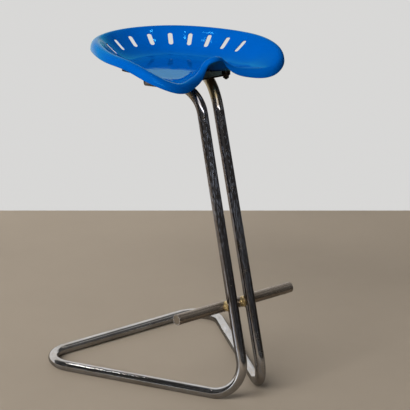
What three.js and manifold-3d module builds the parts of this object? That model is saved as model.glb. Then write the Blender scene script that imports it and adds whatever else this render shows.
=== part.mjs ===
// Tractor seat stool: a pressed steel pan on a bent tube frame.
// Lengths are millimetres, +Z is up, the pommel of the seat faces -Y and x = 0 is the plane of symmetry.
import * as THREE from "three";
import Module from "manifold-3d";
import { mergeVertices } from "three/addons/utils/BufferGeometryUtils.js";

const wasm = await Module();
wasm.setup();

// Clearances that the pieces share
const fit = 0.3;
const overrun = 5;

// Frame tube, bent from one length
const tubeDiameter = 25;
const tubeWall = 1.5;
const legCentreHeight = 705.5;
const footSpacing = 52;
const kneeSpacing = 46;
const baseWidth = 560;
const baseLength = 510;
const uprightLean = 14.7;
const legSplay = 23.4;
const legLength = 132;
const footBendRadius = 74;
const cornerBendRadius = 64;
const kneeBendRadius = 76;
const tubeFacets = 18;
const boreFacets = 10;
const bendSteps = 8;

// Plugs in the two open ends of the frame tube
const plugHeadThickness = 2.4;
const plugStemLength = 14;

// Footrest bar, brazed behind both uprights
const barDiameter = 25;
const barWall = 1.5;
const barLength = 335;
const barHeight = 216;
const barCapThickness = 2.5;
const brazeRadius = 10.5;

// Plate under the seat, welded on top of both legs
const plateThickness = 3.5;
const plateLength = 190;
const plateFrontWidth = 152;
const plateBackWidth = 200;
const plateFrontSetback = 2;
const plateCornerRadius = 12;
const weldLength = 34;
const weldLeg = 6;
const weldSetback = 34;

// Studs under the pan with their spacers, washers and nuts
const studDiameter = 8;
const studStickOut = 3;
const studBoltSlack = 0.25;
const spacerDiameter = 20;
const spacerHeight = 6;
const washerDiameter = 17;
const washerThickness = 1.6;
const nutAcrossFlats = 13;
const nutHeight = 6.5;
const frontStudSpacing = 138;
const backStudSpacing = 138;
const frontStudEdge = 13;
const backStudEdge = 31;
const roundFacets = 16;

// Seat pan: crest loop, floor, wall and rolled flange
const panThickness = 2.5;
const rimHalfWidth = 190;
const rimHalfLength = 200;
const rimHeight = 52;
const flangeWidth = 16;
const flangeDrop = 22;
const seatSetback = 102;
const floorShare = 0.55;
// Half of the crest's control polygon, from the middle of the back round to the pommel
const crestAcrossShares = [0, 0.57, 0.818, 1.004, 1.007, 0.98, 0.695, 0.44, 0.257, 0.129, 0];
const crestAlongShares = [1.097, 0.891, 0.433, -0.009, -0.405, -0.735, -0.86, -0.738, -0.684, -0.612, -0.69];
const crestHeightShares = [0.996, 1.007, 1.08, 1.063, 1.067, 0.731, 0.105, 0.21, 0.28, 0.773, 0.944];
const flangeOutShares = [1, 1.03, 1.05, 0.98, 0.96, 0.91, 0.82, 0.78, 0.7, 0.58, 0.57];
const flangeDropShares = [1.05, 1, 1, 0.86, 0.78, 0.96, 1, 0.93, 0.7, 0.47, 0.4];
// Bezier handles of the wall, which leaves the floor level and reaches the crest level
const wallFootShare = 0.42;
const wallTopShare = 0.86;
const flangeRollShare = 0.62;
const panColumns = 80;
const wallRows = 7;
const flangeRows = 4;

// Slots round the back and sides of the pan
const slotCount = 13;
const slotPitch = 46.8;
const slotWidth = 10.8;
const slotLength = 35;
const slotRiseShare = 0.53;
const slotFacets = 4;

// Helpers for solids

function tidy(geometry) {
  const bare = new THREE.BufferGeometry();
  bare.setAttribute("position", geometry.getAttribute("position").clone());
  if (geometry.index) bare.setIndex(geometry.index.clone());
  return mergeVertices(bare);
}

function toSolid(geometry) {
  const closed = tidy(geometry);
  return new wasm.Manifold(new wasm.Mesh({
    numProp: 3,
    vertProperties: new Float32Array(closed.getAttribute("position").array),
    triVerts: new Uint32Array(closed.index.array),
  }));
}

function toGeometry(solid) {
  const mesh = solid.getMesh();
  const geometry = new THREE.BufferGeometry();
  geometry.setAttribute("position", new THREE.BufferAttribute(mesh.vertProperties.slice(), 3));
  geometry.setIndex(new THREE.BufferAttribute(mesh.triVerts.slice(), 1));
  return mergeVertices(geometry);
}

function ringPoints(radius, facets) {
  return Array.from({ length: facets }, (_, i) => {
    const angle = ((i + 0.5) / facets) * 2 * Math.PI;
    return new THREE.Vector2(radius * Math.cos(angle), radius * Math.sin(angle));
  });
}

function ringShape(outerRadius, outerFacets, innerRadius, innerFacets) {
  const shape = new THREE.Shape(ringPoints(outerRadius, outerFacets));
  shape.holes.push(new THREE.Path(ringPoints(innerRadius, innerFacets)));
  return shape;
}

function ring(outerRadius, outerFacets, innerRadius, height) {
  const shape = ringShape(outerRadius, outerFacets, innerRadius, roundFacets);
  return new THREE.ExtrudeGeometry(shape, { depth: height, bevelEnabled: false });
}

function piece(name, geometry, material) {
  const mesh = new THREE.Mesh(tidy(geometry), material);
  mesh.name = name;
  return mesh;
}

const stool = new THREE.Group();
stool.name = "tractor_seat_stool";

// Materials

const chrome = { color: 0xc9c6c0, roughness: 0.12, metalness: 1 };
const chromeTube = new THREE.MeshStandardMaterial(chrome);
const chromeBar = new THREE.MeshStandardMaterial(chrome);
const capSteel = new THREE.MeshStandardMaterial({ color: 0xa89c90, roughness: 0.25, metalness: 1 });
const brass = new THREE.MeshStandardMaterial({ color: 0xb58a45, roughness: 0.35, metalness: 1 });
const blackEnamel = new THREE.MeshStandardMaterial({ color: 0x1c1714, roughness: 0.35, metalness: 0.2 });
const blackPlastic = new THREE.MeshStandardMaterial({ color: 0x141414, roughness: 0.5, metalness: 0 });
const zinc = new THREE.MeshStandardMaterial({ color: 0x9a9894, roughness: 0.3, metalness: 1 });
const blueEnamel = new THREE.MeshStandardMaterial({ color: 0x0b5cc8, roughness: 0.12, metalness: 0 });

// Frame tube: a centreline with rounded corners, swept with one unbroken section

const tubeRadius = tubeDiameter / 2;
const railHeight = tubeRadius * Math.cos(Math.PI / tubeFacets);
const lean = THREE.MathUtils.degToRad(uprightLean);
const splay = THREE.MathUtils.degToRad(legSplay);
const kneeAlong = (legCentreHeight - railHeight) * Math.tan(lean);

class BentRoute extends THREE.Curve {
  // Corners are { point, radius }; a corner without a radius is an end of the tube.
  constructor(corners) {
    super();
    this.stations = [];
    corners.forEach((corner, i) => this.addCorner(corner, corners[i - 1], corners[i + 1]));
  }

  addCorner(corner, before, after) {
    if (!before || !after) {
      const neighbour = before ?? after;
      const tangent = corner.point.clone().sub(neighbour.point).normalize();
      if (!before) tangent.negate();
      this.stations.push({ point: corner.point, tangent });
      return;
    }
    const into = corner.point.clone().sub(before.point).normalize();
    const out = after.point.clone().sub(corner.point).normalize();
    const turn = into.angleTo(out);
    const run = corner.radius * Math.tan(turn / 2);
    const start = corner.point.clone().addScaledVector(into, -run);
    const axis = into.clone().cross(out).normalize();
    const inward = axis.clone().cross(into);
    const centre = start.clone().addScaledVector(inward, corner.radius);
    for (let step = 0; step <= bendSteps; step += 1) {
      const angle = (turn * step) / bendSteps;
      const arm = inward.clone().multiplyScalar(-corner.radius).applyAxisAngle(axis, angle);
      this.stations.push({
        point: centre.clone().add(arm),
        tangent: into.clone().applyAxisAngle(axis, angle),
      });
    }
  }

  get steps() {
    return this.stations.length - 1;
  }

  getUtoTmapping(u) {
    return u;
  }

  getPoint(t, target = new THREE.Vector3()) {
    const place = t * this.steps;
    const index = Math.min(Math.floor(place), this.steps - 1);
    const from = this.stations[index].point;
    return target.lerpVectors(from, this.stations[index + 1].point, place - index);
  }

  getTangent(t, target = new THREE.Vector3()) {
    return target.copy(this.stations[Math.round(t * this.steps)].tangent);
  }

  // The section is carried without twist from the middle of the back rail, where its flat lies on the floor.
  computeFrenetFrames() {
    const tangents = this.stations.map((station) => station.tangent);
    const normals = new Array(tangents.length);
    const middle = Math.floor(tangents.length / 2);
    normals[middle] = new THREE.Vector3(0, 0, 1);
    const carry = (from, to) => {
      const axis = tangents[from].clone().cross(tangents[to]);
      const angle = tangents[from].angleTo(tangents[to]);
      normals[to] = normals[from].clone();
      if (axis.length() > Number.EPSILON) normals[to].applyAxisAngle(axis.normalize(), angle);
    };
    for (let i = middle; i + 1 < tangents.length; i += 1) carry(i, i + 1);
    for (let i = middle; i > 0; i -= 1) carry(i, i - 1);
    const binormals = tangents.map((tangent, i) => tangent.clone().cross(normals[i]));
    return { tangents, normals, binormals };
  }
}

function frameCorners() {
  const legRun = legLength * Math.cos(splay);
  const legSpread = legLength * Math.sin(splay);
  const side = (hand) => [
    { point: new THREE.Vector3(hand * (kneeSpacing / 2 + legSpread), kneeAlong + legRun, legCentreHeight) },
    { point: new THREE.Vector3((hand * kneeSpacing) / 2, kneeAlong, legCentreHeight), radius: kneeBendRadius },
    { point: new THREE.Vector3((hand * footSpacing) / 2, 0, railHeight), radius: footBendRadius },
    { point: new THREE.Vector3((hand * baseWidth) / 2, baseLength, railHeight), radius: cornerBendRadius },
  ];
  return [...side(-1), ...side(1).reverse()];
}

const frameRoute = new BentRoute(frameCorners());
const boreRadius = tubeRadius - tubeWall;
stool.add(piece("frame_tube", new THREE.ExtrudeGeometry(
  ringShape(tubeRadius, tubeFacets, boreRadius, boreFacets),
  { extrudePath: frameRoute, steps: frameRoute.steps },
), chromeTube));

// Plugs: a round head over the tube's end and a stem inside its bore

function plugGeometry(headRadius, headThickness, stemRadius, stemLength) {
  const profile = [
    new THREE.Vector2(0, headThickness + fit),
    new THREE.Vector2(headRadius, headThickness + fit),
    new THREE.Vector2(headRadius, fit),
    new THREE.Vector2(stemRadius, fit),
    new THREE.Vector2(stemRadius, -stemLength),
    new THREE.Vector2(0, -stemLength),
  ].reverse();
  return new THREE.LatheGeometry(profile, roundFacets);
}

const boreFlatRadius = boreRadius * Math.cos(Math.PI / boreFacets);

function addLegPlug(name, station, outward) {
  const plug = piece(name, plugGeometry(tubeRadius, plugHeadThickness, boreFlatRadius - fit, plugStemLength),
    blackPlastic);
  plug.position.copy(station.point);
  plug.quaternion.setFromUnitVectors(new THREE.Vector3(0, 1, 0), outward);
  stool.add(plug);
}

const legEnds = [frameRoute.stations[0], frameRoute.stations[frameRoute.steps]];
addLegPlug("leg_plug_left", legEnds[0], legEnds[0].tangent.clone().negate());
addLegPlug("leg_plug_right", legEnds[1], legEnds[1].tangent);

// Footrest bar: it lies behind the uprights, one gap off both

const barRadius = barDiameter / 2;
const barBoreRadius = barRadius - barWall;
const rise = (barHeight - railHeight) / (legCentreHeight - railHeight);
const uprightAlong = rise * kneeAlong;
const uprightSpacing = footSpacing + (kneeSpacing - footSpacing) * rise;
const barAlong = uprightAlong + (tubeRadius + barRadius + fit) / Math.cos(lean);

const bar = piece("footrest_bar", ring(barRadius, tubeFacets, barBoreRadius, barLength), chromeBar);
bar.rotation.set(0, Math.PI / 2, 0);
bar.position.set(-barLength / 2, barAlong, barHeight);
stool.add(bar);

const capRadius = barBoreRadius * Math.cos(Math.PI / roundFacets) - fit;
for (const [name, hand] of [["footrest_cap_left", -1], ["footrest_cap_right", 1]]) {
  const cap = piece(name, new THREE.CylinderGeometry(capRadius, capRadius, barCapThickness, roundFacets), capSteel);
  cap.rotation.set(0, 0, Math.PI / 2);
  cap.position.set((hand * (barLength - barCapThickness)) / 2, barAlong, barHeight);
  stool.add(cap);
}

// Braze: a fillet of filler metal in the wedge between each upright and the bar

function brazeGeometry(hand) {
  const contactAlong = barAlong - (barRadius * Math.cos(lean) + fit / 2);
  const contactHeight = barHeight + barRadius * Math.sin(lean);
  const centre = new THREE.Vector3((hand * uprightSpacing) / 2, contactAlong, contactHeight);
  const blob = new THREE.SphereGeometry(brazeRadius, roundFacets, roundFacets / 2);
  blob.translate(centre.x, centre.y, centre.z);
  const uprightFoot = new THREE.Vector3((hand * footSpacing) / 2, 0, railHeight);
  const uprightTop = new THREE.Vector3((hand * kneeSpacing) / 2, kneeAlong, legCentreHeight);
  const upright = new THREE.CylinderGeometry(
    tubeRadius + fit, tubeRadius + fit, uprightFoot.distanceTo(uprightTop), tubeFacets * 2);
  upright.applyQuaternion(new THREE.Quaternion().setFromUnitVectors(
    new THREE.Vector3(0, 1, 0), uprightTop.clone().sub(uprightFoot).normalize()));
  const middle = uprightFoot.clone().add(uprightTop).multiplyScalar(0.5);
  upright.translate(middle.x, middle.y, middle.z);
  const crossBar = new THREE.CylinderGeometry(barRadius + fit, barRadius + fit, barLength, tubeFacets * 2);
  crossBar.rotateZ(Math.PI / 2);
  crossBar.translate(0, barAlong, barHeight);
  return toGeometry(toSolid(blob).subtract(toSolid(upright)).subtract(toSolid(crossBar)));
}

stool.add(piece("braze_left", brazeGeometry(-1), brass));
stool.add(piece("braze_right", brazeGeometry(1), brass));

// Seat plate: a tapered plate with round corners, one hole for each stud

const plateBottom = legCentreHeight + tubeRadius + fit;
const plateTop = plateBottom + plateThickness;
const plateFrontAlong = kneeAlong + plateFrontSetback;
const studHoleRadius = studDiameter / 2 + studBoltSlack;

const frontStudAlong = plateFrontAlong + frontStudEdge;
const backStudAlong = plateFrontAlong + plateLength - backStudEdge;
const studPlaces = {
  front_left: [-frontStudSpacing / 2, frontStudAlong],
  front_right: [frontStudSpacing / 2, frontStudAlong],
  back_left: [-backStudSpacing / 2, backStudAlong],
  back_right: [backStudSpacing / 2, backStudAlong],
};

function roundedOutline(corners, radius) {
  const shape = new THREE.Shape();
  corners.forEach((corner, i) => {
    const before = corners[(i + corners.length - 1) % corners.length];
    const after = corners[(i + 1) % corners.length];
    const start = corner.clone().add(before.clone().sub(corner).setLength(radius));
    const end = corner.clone().add(after.clone().sub(corner).setLength(radius));
    if (i === 0) shape.moveTo(start.x, start.y);
    else shape.lineTo(start.x, start.y);
    shape.quadraticCurveTo(corner.x, corner.y, end.x, end.y);
  });
  shape.closePath();
  return shape;
}

function plateGeometry() {
  const back = plateFrontAlong + plateLength;
  const outline = roundedOutline([
    new THREE.Vector2(-plateFrontWidth / 2, plateFrontAlong),
    new THREE.Vector2(plateFrontWidth / 2, plateFrontAlong),
    new THREE.Vector2(plateBackWidth / 2, back),
    new THREE.Vector2(-plateBackWidth / 2, back),
  ], plateCornerRadius);
  for (const [across, along] of Object.values(studPlaces)) {
    const hole = ringPoints(studHoleRadius, roundFacets);
    outline.holes.push(new THREE.Path(hole.map((p) => new THREE.Vector2(p.x + across, p.y + along))));
  }
  return new THREE.ExtrudeGeometry(outline, { depth: plateThickness, bevelEnabled: false, curveSegments: 6 });
}

const plate = piece("seat_plate", plateGeometry(), blackEnamel);
plate.position.z = plateBottom;
stool.add(plate);

// Weld beads: a fillet on each side of each leg, between the tube's crown and the plate

function weldShape() {
  const reach = tubeRadius + fit;
  const start = Math.acos((reach - fit) / reach);
  const end = Math.asin((Math.sin(start) * reach + weldLeg) / reach);
  const shape = new THREE.Shape();
  shape.moveTo(reach * Math.sin(start), reach * Math.cos(start));
  shape.lineTo(reach * Math.sin(end), tubeRadius);
  shape.lineTo(reach * Math.sin(end), reach * Math.cos(end));
  shape.absarc(0, 0, reach, Math.PI / 2 - end, Math.PI / 2 - start, false);
  return shape;
}

const weldOptions = { depth: weldLength, bevelEnabled: false, curveSegments: 4 };
for (const [side, end] of [["left", legEnds[0]], ["right", legEnds[1]]]) {
  const outward = end.tangent.clone().multiplyScalar(side === "left" ? -1 : 1);
  for (const [face, turn] of [["outer", 0], ["inner", Math.PI]]) {
    const bead = new THREE.ExtrudeGeometry(weldShape(), weldOptions);
    bead.translate(0, 0, -weldLength / 2).rotateX(Math.PI / 2).rotateZ(turn);
    const weld = piece(`plate_weld_${side}_${face}`, bead, blackEnamel);
    weld.rotation.z = Math.atan2(-outward.x, outward.y);
    weld.position.copy(end.point).addScaledVector(outward, -weldSetback);
    stool.add(weld);
  }
}

// Studs, spacers, washers and nuts: one of each at every corner of the plate

const panUnderside = plateTop + fit + spacerHeight + fit;
const washerTop = plateBottom - fit;
const nutTop = washerTop - washerThickness - fit;
const studBottom = nutTop - nutHeight - studStickOut;

const studLength = panUnderside - fit - studBottom;
const hexRadius = nutAcrossFlats / 2 / Math.cos(Math.PI / 6);
const studParts = {
  stud: {
    bottom: studBottom,
    geometry: () => new THREE.CylinderGeometry(studDiameter / 2, studDiameter / 2, studLength, roundFacets)
      .rotateX(Math.PI / 2)
      .translate(0, 0, studLength / 2),
  },
  spacer: {
    bottom: plateTop + fit,
    geometry: () => ring(spacerDiameter / 2, roundFacets, studHoleRadius, spacerHeight),
  },
  washer: {
    bottom: washerTop - washerThickness,
    geometry: () => ring(washerDiameter / 2, roundFacets, studHoleRadius, washerThickness),
  },
  nut: {
    bottom: nutTop - nutHeight,
    geometry: () => ring(hexRadius, 6, studHoleRadius, nutHeight),
  },
};

for (const [corner, [across, along]] of Object.entries(studPlaces)) {
  for (const [kind, part] of Object.entries(studParts)) {
    const mesh = piece(`${kind}_${corner}`, part.geometry(), zinc);
    mesh.position.set(across, along, part.bottom);
    stool.add(mesh);
  }
}

// Seat pan: the crest is a closed cubic B-spline; wall and flange are Bezier profiles hung on it

const seatCentre = new THREE.Vector3(0, kneeAlong + seatSetback, panUnderside + panThickness);

function loopValue(shares, t, odd) {
  const half = shares.length - 1;
  const count = 2 * half;
  const place = t * count;
  const index = Math.floor(place);
  const s = place - index;
  const weights = [(1 - s) ** 3, 3 * s ** 3 - 6 * s ** 2 + 4, -3 * s ** 3 + 3 * s ** 2 + 3 * s + 1, s ** 3];
  return weights.reduce((sum, weight, i) => {
    const at = (index + i - 1 + count) % count;
    const mirrored = at > half;
    const value = shares[mirrored ? count - at : at] * (mirrored && odd ? -1 : 1);
    return sum + (value * weight) / 6;
  }, 0);
}

function crestPoint(t) {
  return new THREE.Vector3(
    rimHalfWidth * loopValue(crestAcrossShares, t, true),
    rimHalfLength * loopValue(crestAlongShares, t, false),
    rimHeight * loopValue(crestHeightShares, t, false),
  );
}

function crestOutward(t) {
  const step = 1 / (panColumns * 20);
  const along = crestPoint((t + step) % 1).sub(crestPoint((t - step + 1) % 1));
  return new THREE.Vector3(-along.y, along.x, 0).normalize();
}

function bezier(a, b, c, d, s) {
  const r = 1 - s;
  return a * r ** 3 + 3 * b * r ** 2 * s + 3 * c * r * s ** 2 + d * s ** 3;
}

// Rise runs from 0 at the floor's edge to 1 on the crest
function wallPoint(t, rise01) {
  const crest = crestPoint(t);
  const reach = floorShare + (1 - floorShare) * bezier(0, wallFootShare, wallTopShare, 1, rise01);
  return new THREE.Vector3(crest.x * reach, crest.y * reach, crest.z * bezier(0, 0, 1, 1, rise01));
}

// Roll runs from 0 on the crest to 1 at the flange's lower edge
function flangePoint(t, roll01) {
  const crest = crestPoint(t);
  const out = flangeWidth * loopValue(flangeOutShares, t, false);
  const drop = flangeDrop * loopValue(flangeDropShares, t, false);
  crest.addScaledVector(crestOutward(t), out * bezier(0, flangeRollShare, 1, 1, roll01));
  crest.z -= drop * bezier(0, 0, 1 - flangeRollShare, 1, roll01);
  return crest;
}

function panPoint(t, row) {
  if (row <= wallRows) return wallPoint(t, row / wallRows);
  return flangePoint(t, (row - wallRows) / flangeRows);
}

function panShell() {
  const rows = wallRows + flangeRows + 1;
  const top = [];
  for (let row = 0; row < rows; row += 1) {
    for (let column = 0; column < panColumns; column += 1) top.push(panPoint(column / panColumns, row));
  }
  const at = (row, column) => top[row * panColumns + ((column + panColumns) % panColumns)];
  const normalAt = (row, column) => {
    if (row === 0) return new THREE.Vector3(0, 0, 1);
    const along = at(row, column + 1).clone().sub(at(row, column - 1));
    const across = at(Math.min(row + 1, rows - 1), column).clone().sub(at(row - 1, column));
    return along.cross(across).normalize();
  };
  const points = [new THREE.Vector3(), new THREE.Vector3(0, 0, -panThickness)];
  for (let row = 0; row < rows; row += 1) {
    for (let column = 0; column < panColumns; column += 1) {
      const upper = at(row, column);
      points.push(upper, upper.clone().addScaledVector(normalAt(row, column), -panThickness));
    }
  }
  const id = (row, column, under) => 2 + 2 * (row * panColumns + (column % panColumns)) + under;
  const faces = [];
  for (let column = 0; column < panColumns; column += 1) {
    faces.push(0, id(0, column + 1, 0), id(0, column, 0));
    faces.push(1, id(0, column, 1), id(0, column + 1, 1));
    for (let row = 0; row + 1 < rows; row += 1) {
      const corners = [[row, column], [row, column + 1], [row + 1, column + 1], [row + 1, column]];
      const [a, b, c, d] = corners.map(([r, k]) => id(r, k, 0));
      const [e, f, g, h] = corners.map(([r, k]) => id(r, k, 1));
      faces.push(a, b, c, a, c, d, e, g, f, e, h, g);
    }
    const last = rows - 1;
    const [a, b] = [id(last, column, 0), id(last, column + 1, 0)];
    const [c, d] = [id(last, column, 1), id(last, column + 1, 1)];
    faces.push(a, b, d, a, d, c);
  }
  const shell = new THREE.BufferGeometry().setFromPoints(points);
  shell.setIndex(faces);
  return shell;
}

// Places of the slots: equal steps along the wall, counted out from the middle of the back
function slotPlaces() {
  const samples = panColumns * 4;
  const places = [];
  let travelled = 0;
  let next = 1;
  for (let i = 1; i < samples / 2 && next <= (slotCount - 1) / 2; i += 1) {
    const here = wallPoint(i / samples, slotRiseShare);
    travelled += here.distanceTo(wallPoint((i - 1) / samples, slotRiseShare));
    if (travelled >= next * slotPitch) {
      places.push(i / samples, 1 - i / samples);
      next += 1;
    }
  }
  return [0, ...places];
}

function slotCutter(t) {
  const step = 1 / (panColumns * 4);
  const centre = wallPoint(t, slotRiseShare);
  const along = wallPoint((t + step) % 1, slotRiseShare).sub(wallPoint((t - step + 1) % 1, slotRiseShare));
  const up = wallPoint(t, slotRiseShare + step).sub(wallPoint(t, slotRiseShare - step)).normalize();
  const through = along.normalize().cross(up).normalize();
  const half = (slotLength - slotWidth) / 2;
  const shape = new THREE.Shape();
  shape.absarc(0, half, slotWidth / 2, 0, Math.PI, false);
  shape.absarc(0, -half, slotWidth / 2, Math.PI, 2 * Math.PI, false);
  const depth = panThickness + 2 * overrun;
  const cutter = new THREE.ExtrudeGeometry(shape, { depth, bevelEnabled: false, curveSegments: slotFacets });
  cutter.translate(0, 0, -depth / 2);
  const side = up.clone().cross(through);
  cutter.applyMatrix4(new THREE.Matrix4().makeBasis(side, up, through).setPosition(centre));
  return toSolid(cutter);
}

function panGeometry() {
  const cutters = slotPlaces().map(slotCutter);
  const slots = cutters.reduce((all, one) => all.add(one));
  return toGeometry(toSolid(panShell()).subtract(slots));
}

const pan = piece("seat_pan", panGeometry(), blueEnamel);
pan.position.copy(seatCentre);
stool.add(pan);

// The stool stands on the floor with the middle of its plan at the origin

const bounds = new THREE.Box3().setFromObject(stool, true);
stool.position.set(0, -(bounds.min.y + bounds.max.y) / 2, -bounds.min.z);

export default stool;
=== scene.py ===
# Tractor seat stool: the visible pieces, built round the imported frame. Lengths are metres.
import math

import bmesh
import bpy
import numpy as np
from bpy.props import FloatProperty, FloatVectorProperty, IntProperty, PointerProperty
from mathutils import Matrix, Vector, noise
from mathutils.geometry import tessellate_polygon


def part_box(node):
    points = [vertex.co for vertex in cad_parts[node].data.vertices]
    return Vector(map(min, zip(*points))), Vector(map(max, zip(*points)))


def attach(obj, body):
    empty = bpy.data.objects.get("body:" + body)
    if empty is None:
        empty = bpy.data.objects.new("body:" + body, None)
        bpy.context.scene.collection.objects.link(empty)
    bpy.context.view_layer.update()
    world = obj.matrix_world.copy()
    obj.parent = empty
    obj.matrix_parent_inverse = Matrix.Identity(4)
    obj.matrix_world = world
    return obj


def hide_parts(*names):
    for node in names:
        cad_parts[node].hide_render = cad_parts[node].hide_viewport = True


bl_info = {
    "name": "Tractor seat stool",
    "version": (1, 0, 0),
    "blender": (4, 5, 0),
    "location": "3D View > Sidebar > Stool",
    "description": "Builds the enamelled pan, the chromed frame and the small parts of a tractor seat stool",
    "category": "Add Mesh",
}

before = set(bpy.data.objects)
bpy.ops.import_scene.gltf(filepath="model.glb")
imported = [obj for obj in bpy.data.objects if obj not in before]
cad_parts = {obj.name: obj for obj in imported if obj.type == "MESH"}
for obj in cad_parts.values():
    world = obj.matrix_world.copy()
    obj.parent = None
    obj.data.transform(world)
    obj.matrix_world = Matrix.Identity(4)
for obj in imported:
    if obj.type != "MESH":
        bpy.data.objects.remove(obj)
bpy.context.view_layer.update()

BODY = "root"
CORNERS = ("front_left", "front_right", "back_left", "back_right")
SIDES = (("left", -1.0), ("right", 1.0))

# Control values of the pan's crest, from the middle of the back round to the pommel
CREST_ACROSS = (0, 0.57, 0.818, 1.004, 1.007, 0.98, 0.695, 0.44, 0.257, 0.129, 0)
CREST_ALONG = (1.097, 0.891, 0.433, -0.009, -0.405, -0.735, -0.86, -0.738, -0.684, -0.612, -0.69)
CREST_HEIGHT = (0.996, 1.007, 1.08, 1.063, 1.067, 0.731, 0.105, 0.21, 0.28, 0.773, 0.944)
FLANGE_OUT = (1, 1.03, 1.05, 0.98, 0.96, 0.91, 0.82, 0.78, 0.7, 0.58, 0.57)
FLANGE_DROP = (1.05, 1, 1, 0.86, 0.78, 0.96, 1, 0.93, 0.7, 0.47, 0.4)
FLOOR_SHARE = 0.55
WALL_FOOT = 0.42
WALL_TOP = 0.86
FLANGE_ROLL = 0.62
FOOT_EASE = 0.16
FOOT_REACH = 0.45
# Slots: where on the wall their middle lies, and the part of the grid that each one replaces
SLOT_RISE = 0.53
SLOT_WINDOW = 0.19
PITCH_COLUMNS = 20
HALF_WINDOW = 4
WINDOW_ROWS = 17

# Driving sizes of the frame
LEAN = math.radians(14.7)
SPLAY = math.radians(23.4)
LEG_LENGTH = 0.132
FOOT_HALF_SPACING = 0.026
KNEE_HALF_SPACING = 0.023
BASE_HALF_WIDTH = 0.280
BASE_LENGTH = 0.510
PLATE_SETBACK = 0.002
PLATE_HALF_FRONT = 0.076
SEAT_SETBACK = 0.102
CAD_TUBE = 0.0125
CAD_FACETS = 18
CAD_SHEET = 0.0025
GAP = 0.0003

# Fine sizes of the visible pieces; the first two keep pieces that touch from crossing
PLAY = 0.0002
HAIR = 0.0001
FACETS = 48
LIP = 0.0006
SLOT_LIP = 0.0008
CAP_THICKNESS = 0.0025
HOLE_RADIUS = 0.00425
HOLE_STEPS = 28
STUD_RADIUS = 0.004
THREAD_DEPTH = 0.00062
SPACER_RADIUS = 0.010
WASHER_RADIUS = 0.0085
RING_BORE = 0.0043
NUT_FLATS = 0.013
NUT_BORE = 0.00405
WELD_HALF_LENGTH = 0.0165
WELD_DROP = 0.0013
FILLER = 0.0016
FILLER_RIPPLE = 0.0004


# Sizes and colours

def length(name, description, default):
    return FloatProperty(name=name, description=description, default=default, unit="LENGTH", precision=4,
                         min=0.0)


def degrees(name, description, default):
    return FloatProperty(name=name, description=description, default=math.radians(default),
                         subtype="ANGLE", unit="ROTATION")


def colour(name, description, default):
    return FloatVectorProperty(name=name, description=description, default=default,
                               subtype="COLOR", size=3, min=0.0, max=1.0)


class StoolSeatSettings(bpy.types.PropertyGroup):
    half_width: length("Rim half width", "From the middle to the side of the crest", 0.190)
    half_length: length("Rim half length", "From the middle to the back of the crest", 0.200)
    rim_height: length("Rim height", "Height of the crest over the floor of the pan", 0.0519)
    sheet: length("Sheet thickness", "Thickness of the pressed sheet", 0.0025)
    flange_width: length("Flange width", "How far the rolled flange stands out of the crest", 0.016)
    flange_drop: length("Flange drop", "How far the rolled flange hangs below the crest", 0.022)
    slot_pitch: length("Slot pitch", "Step from slot to slot along the wall", 0.0468)
    slot_width: length("Slot width", "Width of one slot", 0.0108)
    slot_length: length("Slot length", "Length of one slot up the wall", 0.035)
    slots: IntProperty(name="Slots", description="Number of slots, an odd number", default=13, min=1, max=15)
    enamel: colour("Enamel", "Colour of the glossy enamel", (0.0, 0.10, 0.46))
    shine: colour("Shine", "Colour of the enamel's gloss where it is seen square on", (0.03, 0.28, 0.48))


class StoolFrameSettings(bpy.types.PropertyGroup):
    tube: length("Tube radius", "Outer radius of the frame tube", 0.0123)
    bore: length("Tube bore", "Inner radius of the frame tube", 0.0108)
    foot_bend: length("Foot bend", "Bend radius where base and uprights meet", 0.074)
    corner_bend: length("Corner bend", "Bend radius of the two back corners", 0.064)
    knee_bend: length("Knee bend", "Bend radius under the seat", 0.076)
    bar: length("Bar radius", "Outer radius of the footrest bar", 0.0124)
    bar_bore: length("Bar bore", "Inner radius of the footrest bar", 0.0109)
    bar_length: length("Bar length", "Length of the footrest bar", 0.335)
    chrome: colour("Chrome", "Colour of the plated tube near the floor", (0.82, 0.81, 0.80))
    aged_chrome: colour("Aged chrome", "Colour of the browned plating of the uprights", (0.33, 0.32, 0.335))
    bar_chrome: colour("Bar chrome", "Colour of the worn plating of the bar", (0.42, 0.36, 0.30))
    patina: colour("Patina", "Colour of the aged and heated plating", (0.46, 0.35, 0.17))
    brass: colour("Brass", "Colour of the brazing filler", (0.78, 0.58, 0.27))
    cap: colour("Bar end", "Colour of the discs in the bar's ends", (0.42, 0.36, 0.29))
    plug: colour("Plug", "Colour of the plugs in the tube's ends", (0.012, 0.012, 0.012))


class StoolPlateSettings(bpy.types.PropertyGroup):
    edge: length("Plate edge", "Rounding of the plate's edges", 0.0006)
    corner: length("Plate corner", "Size of the plate's round corners", 0.012)
    pitch: length("Thread pitch", "Pitch of the studs' thread", 0.00125)
    weld: length("Weld radius", "Radius of the weld beads", 0.0023)
    ripples: IntProperty(name="Weld ripples", description="Ripples on one weld bead", default=11, min=3,
                         max=40)
    enamel: colour("Plate enamel", "Colour of the dark enamel under the seat", (0.016, 0.011, 0.008))
    zinc: colour("Zinc", "Colour of the darkened zinc plated small parts", (0.11, 0.10, 0.085))


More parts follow.
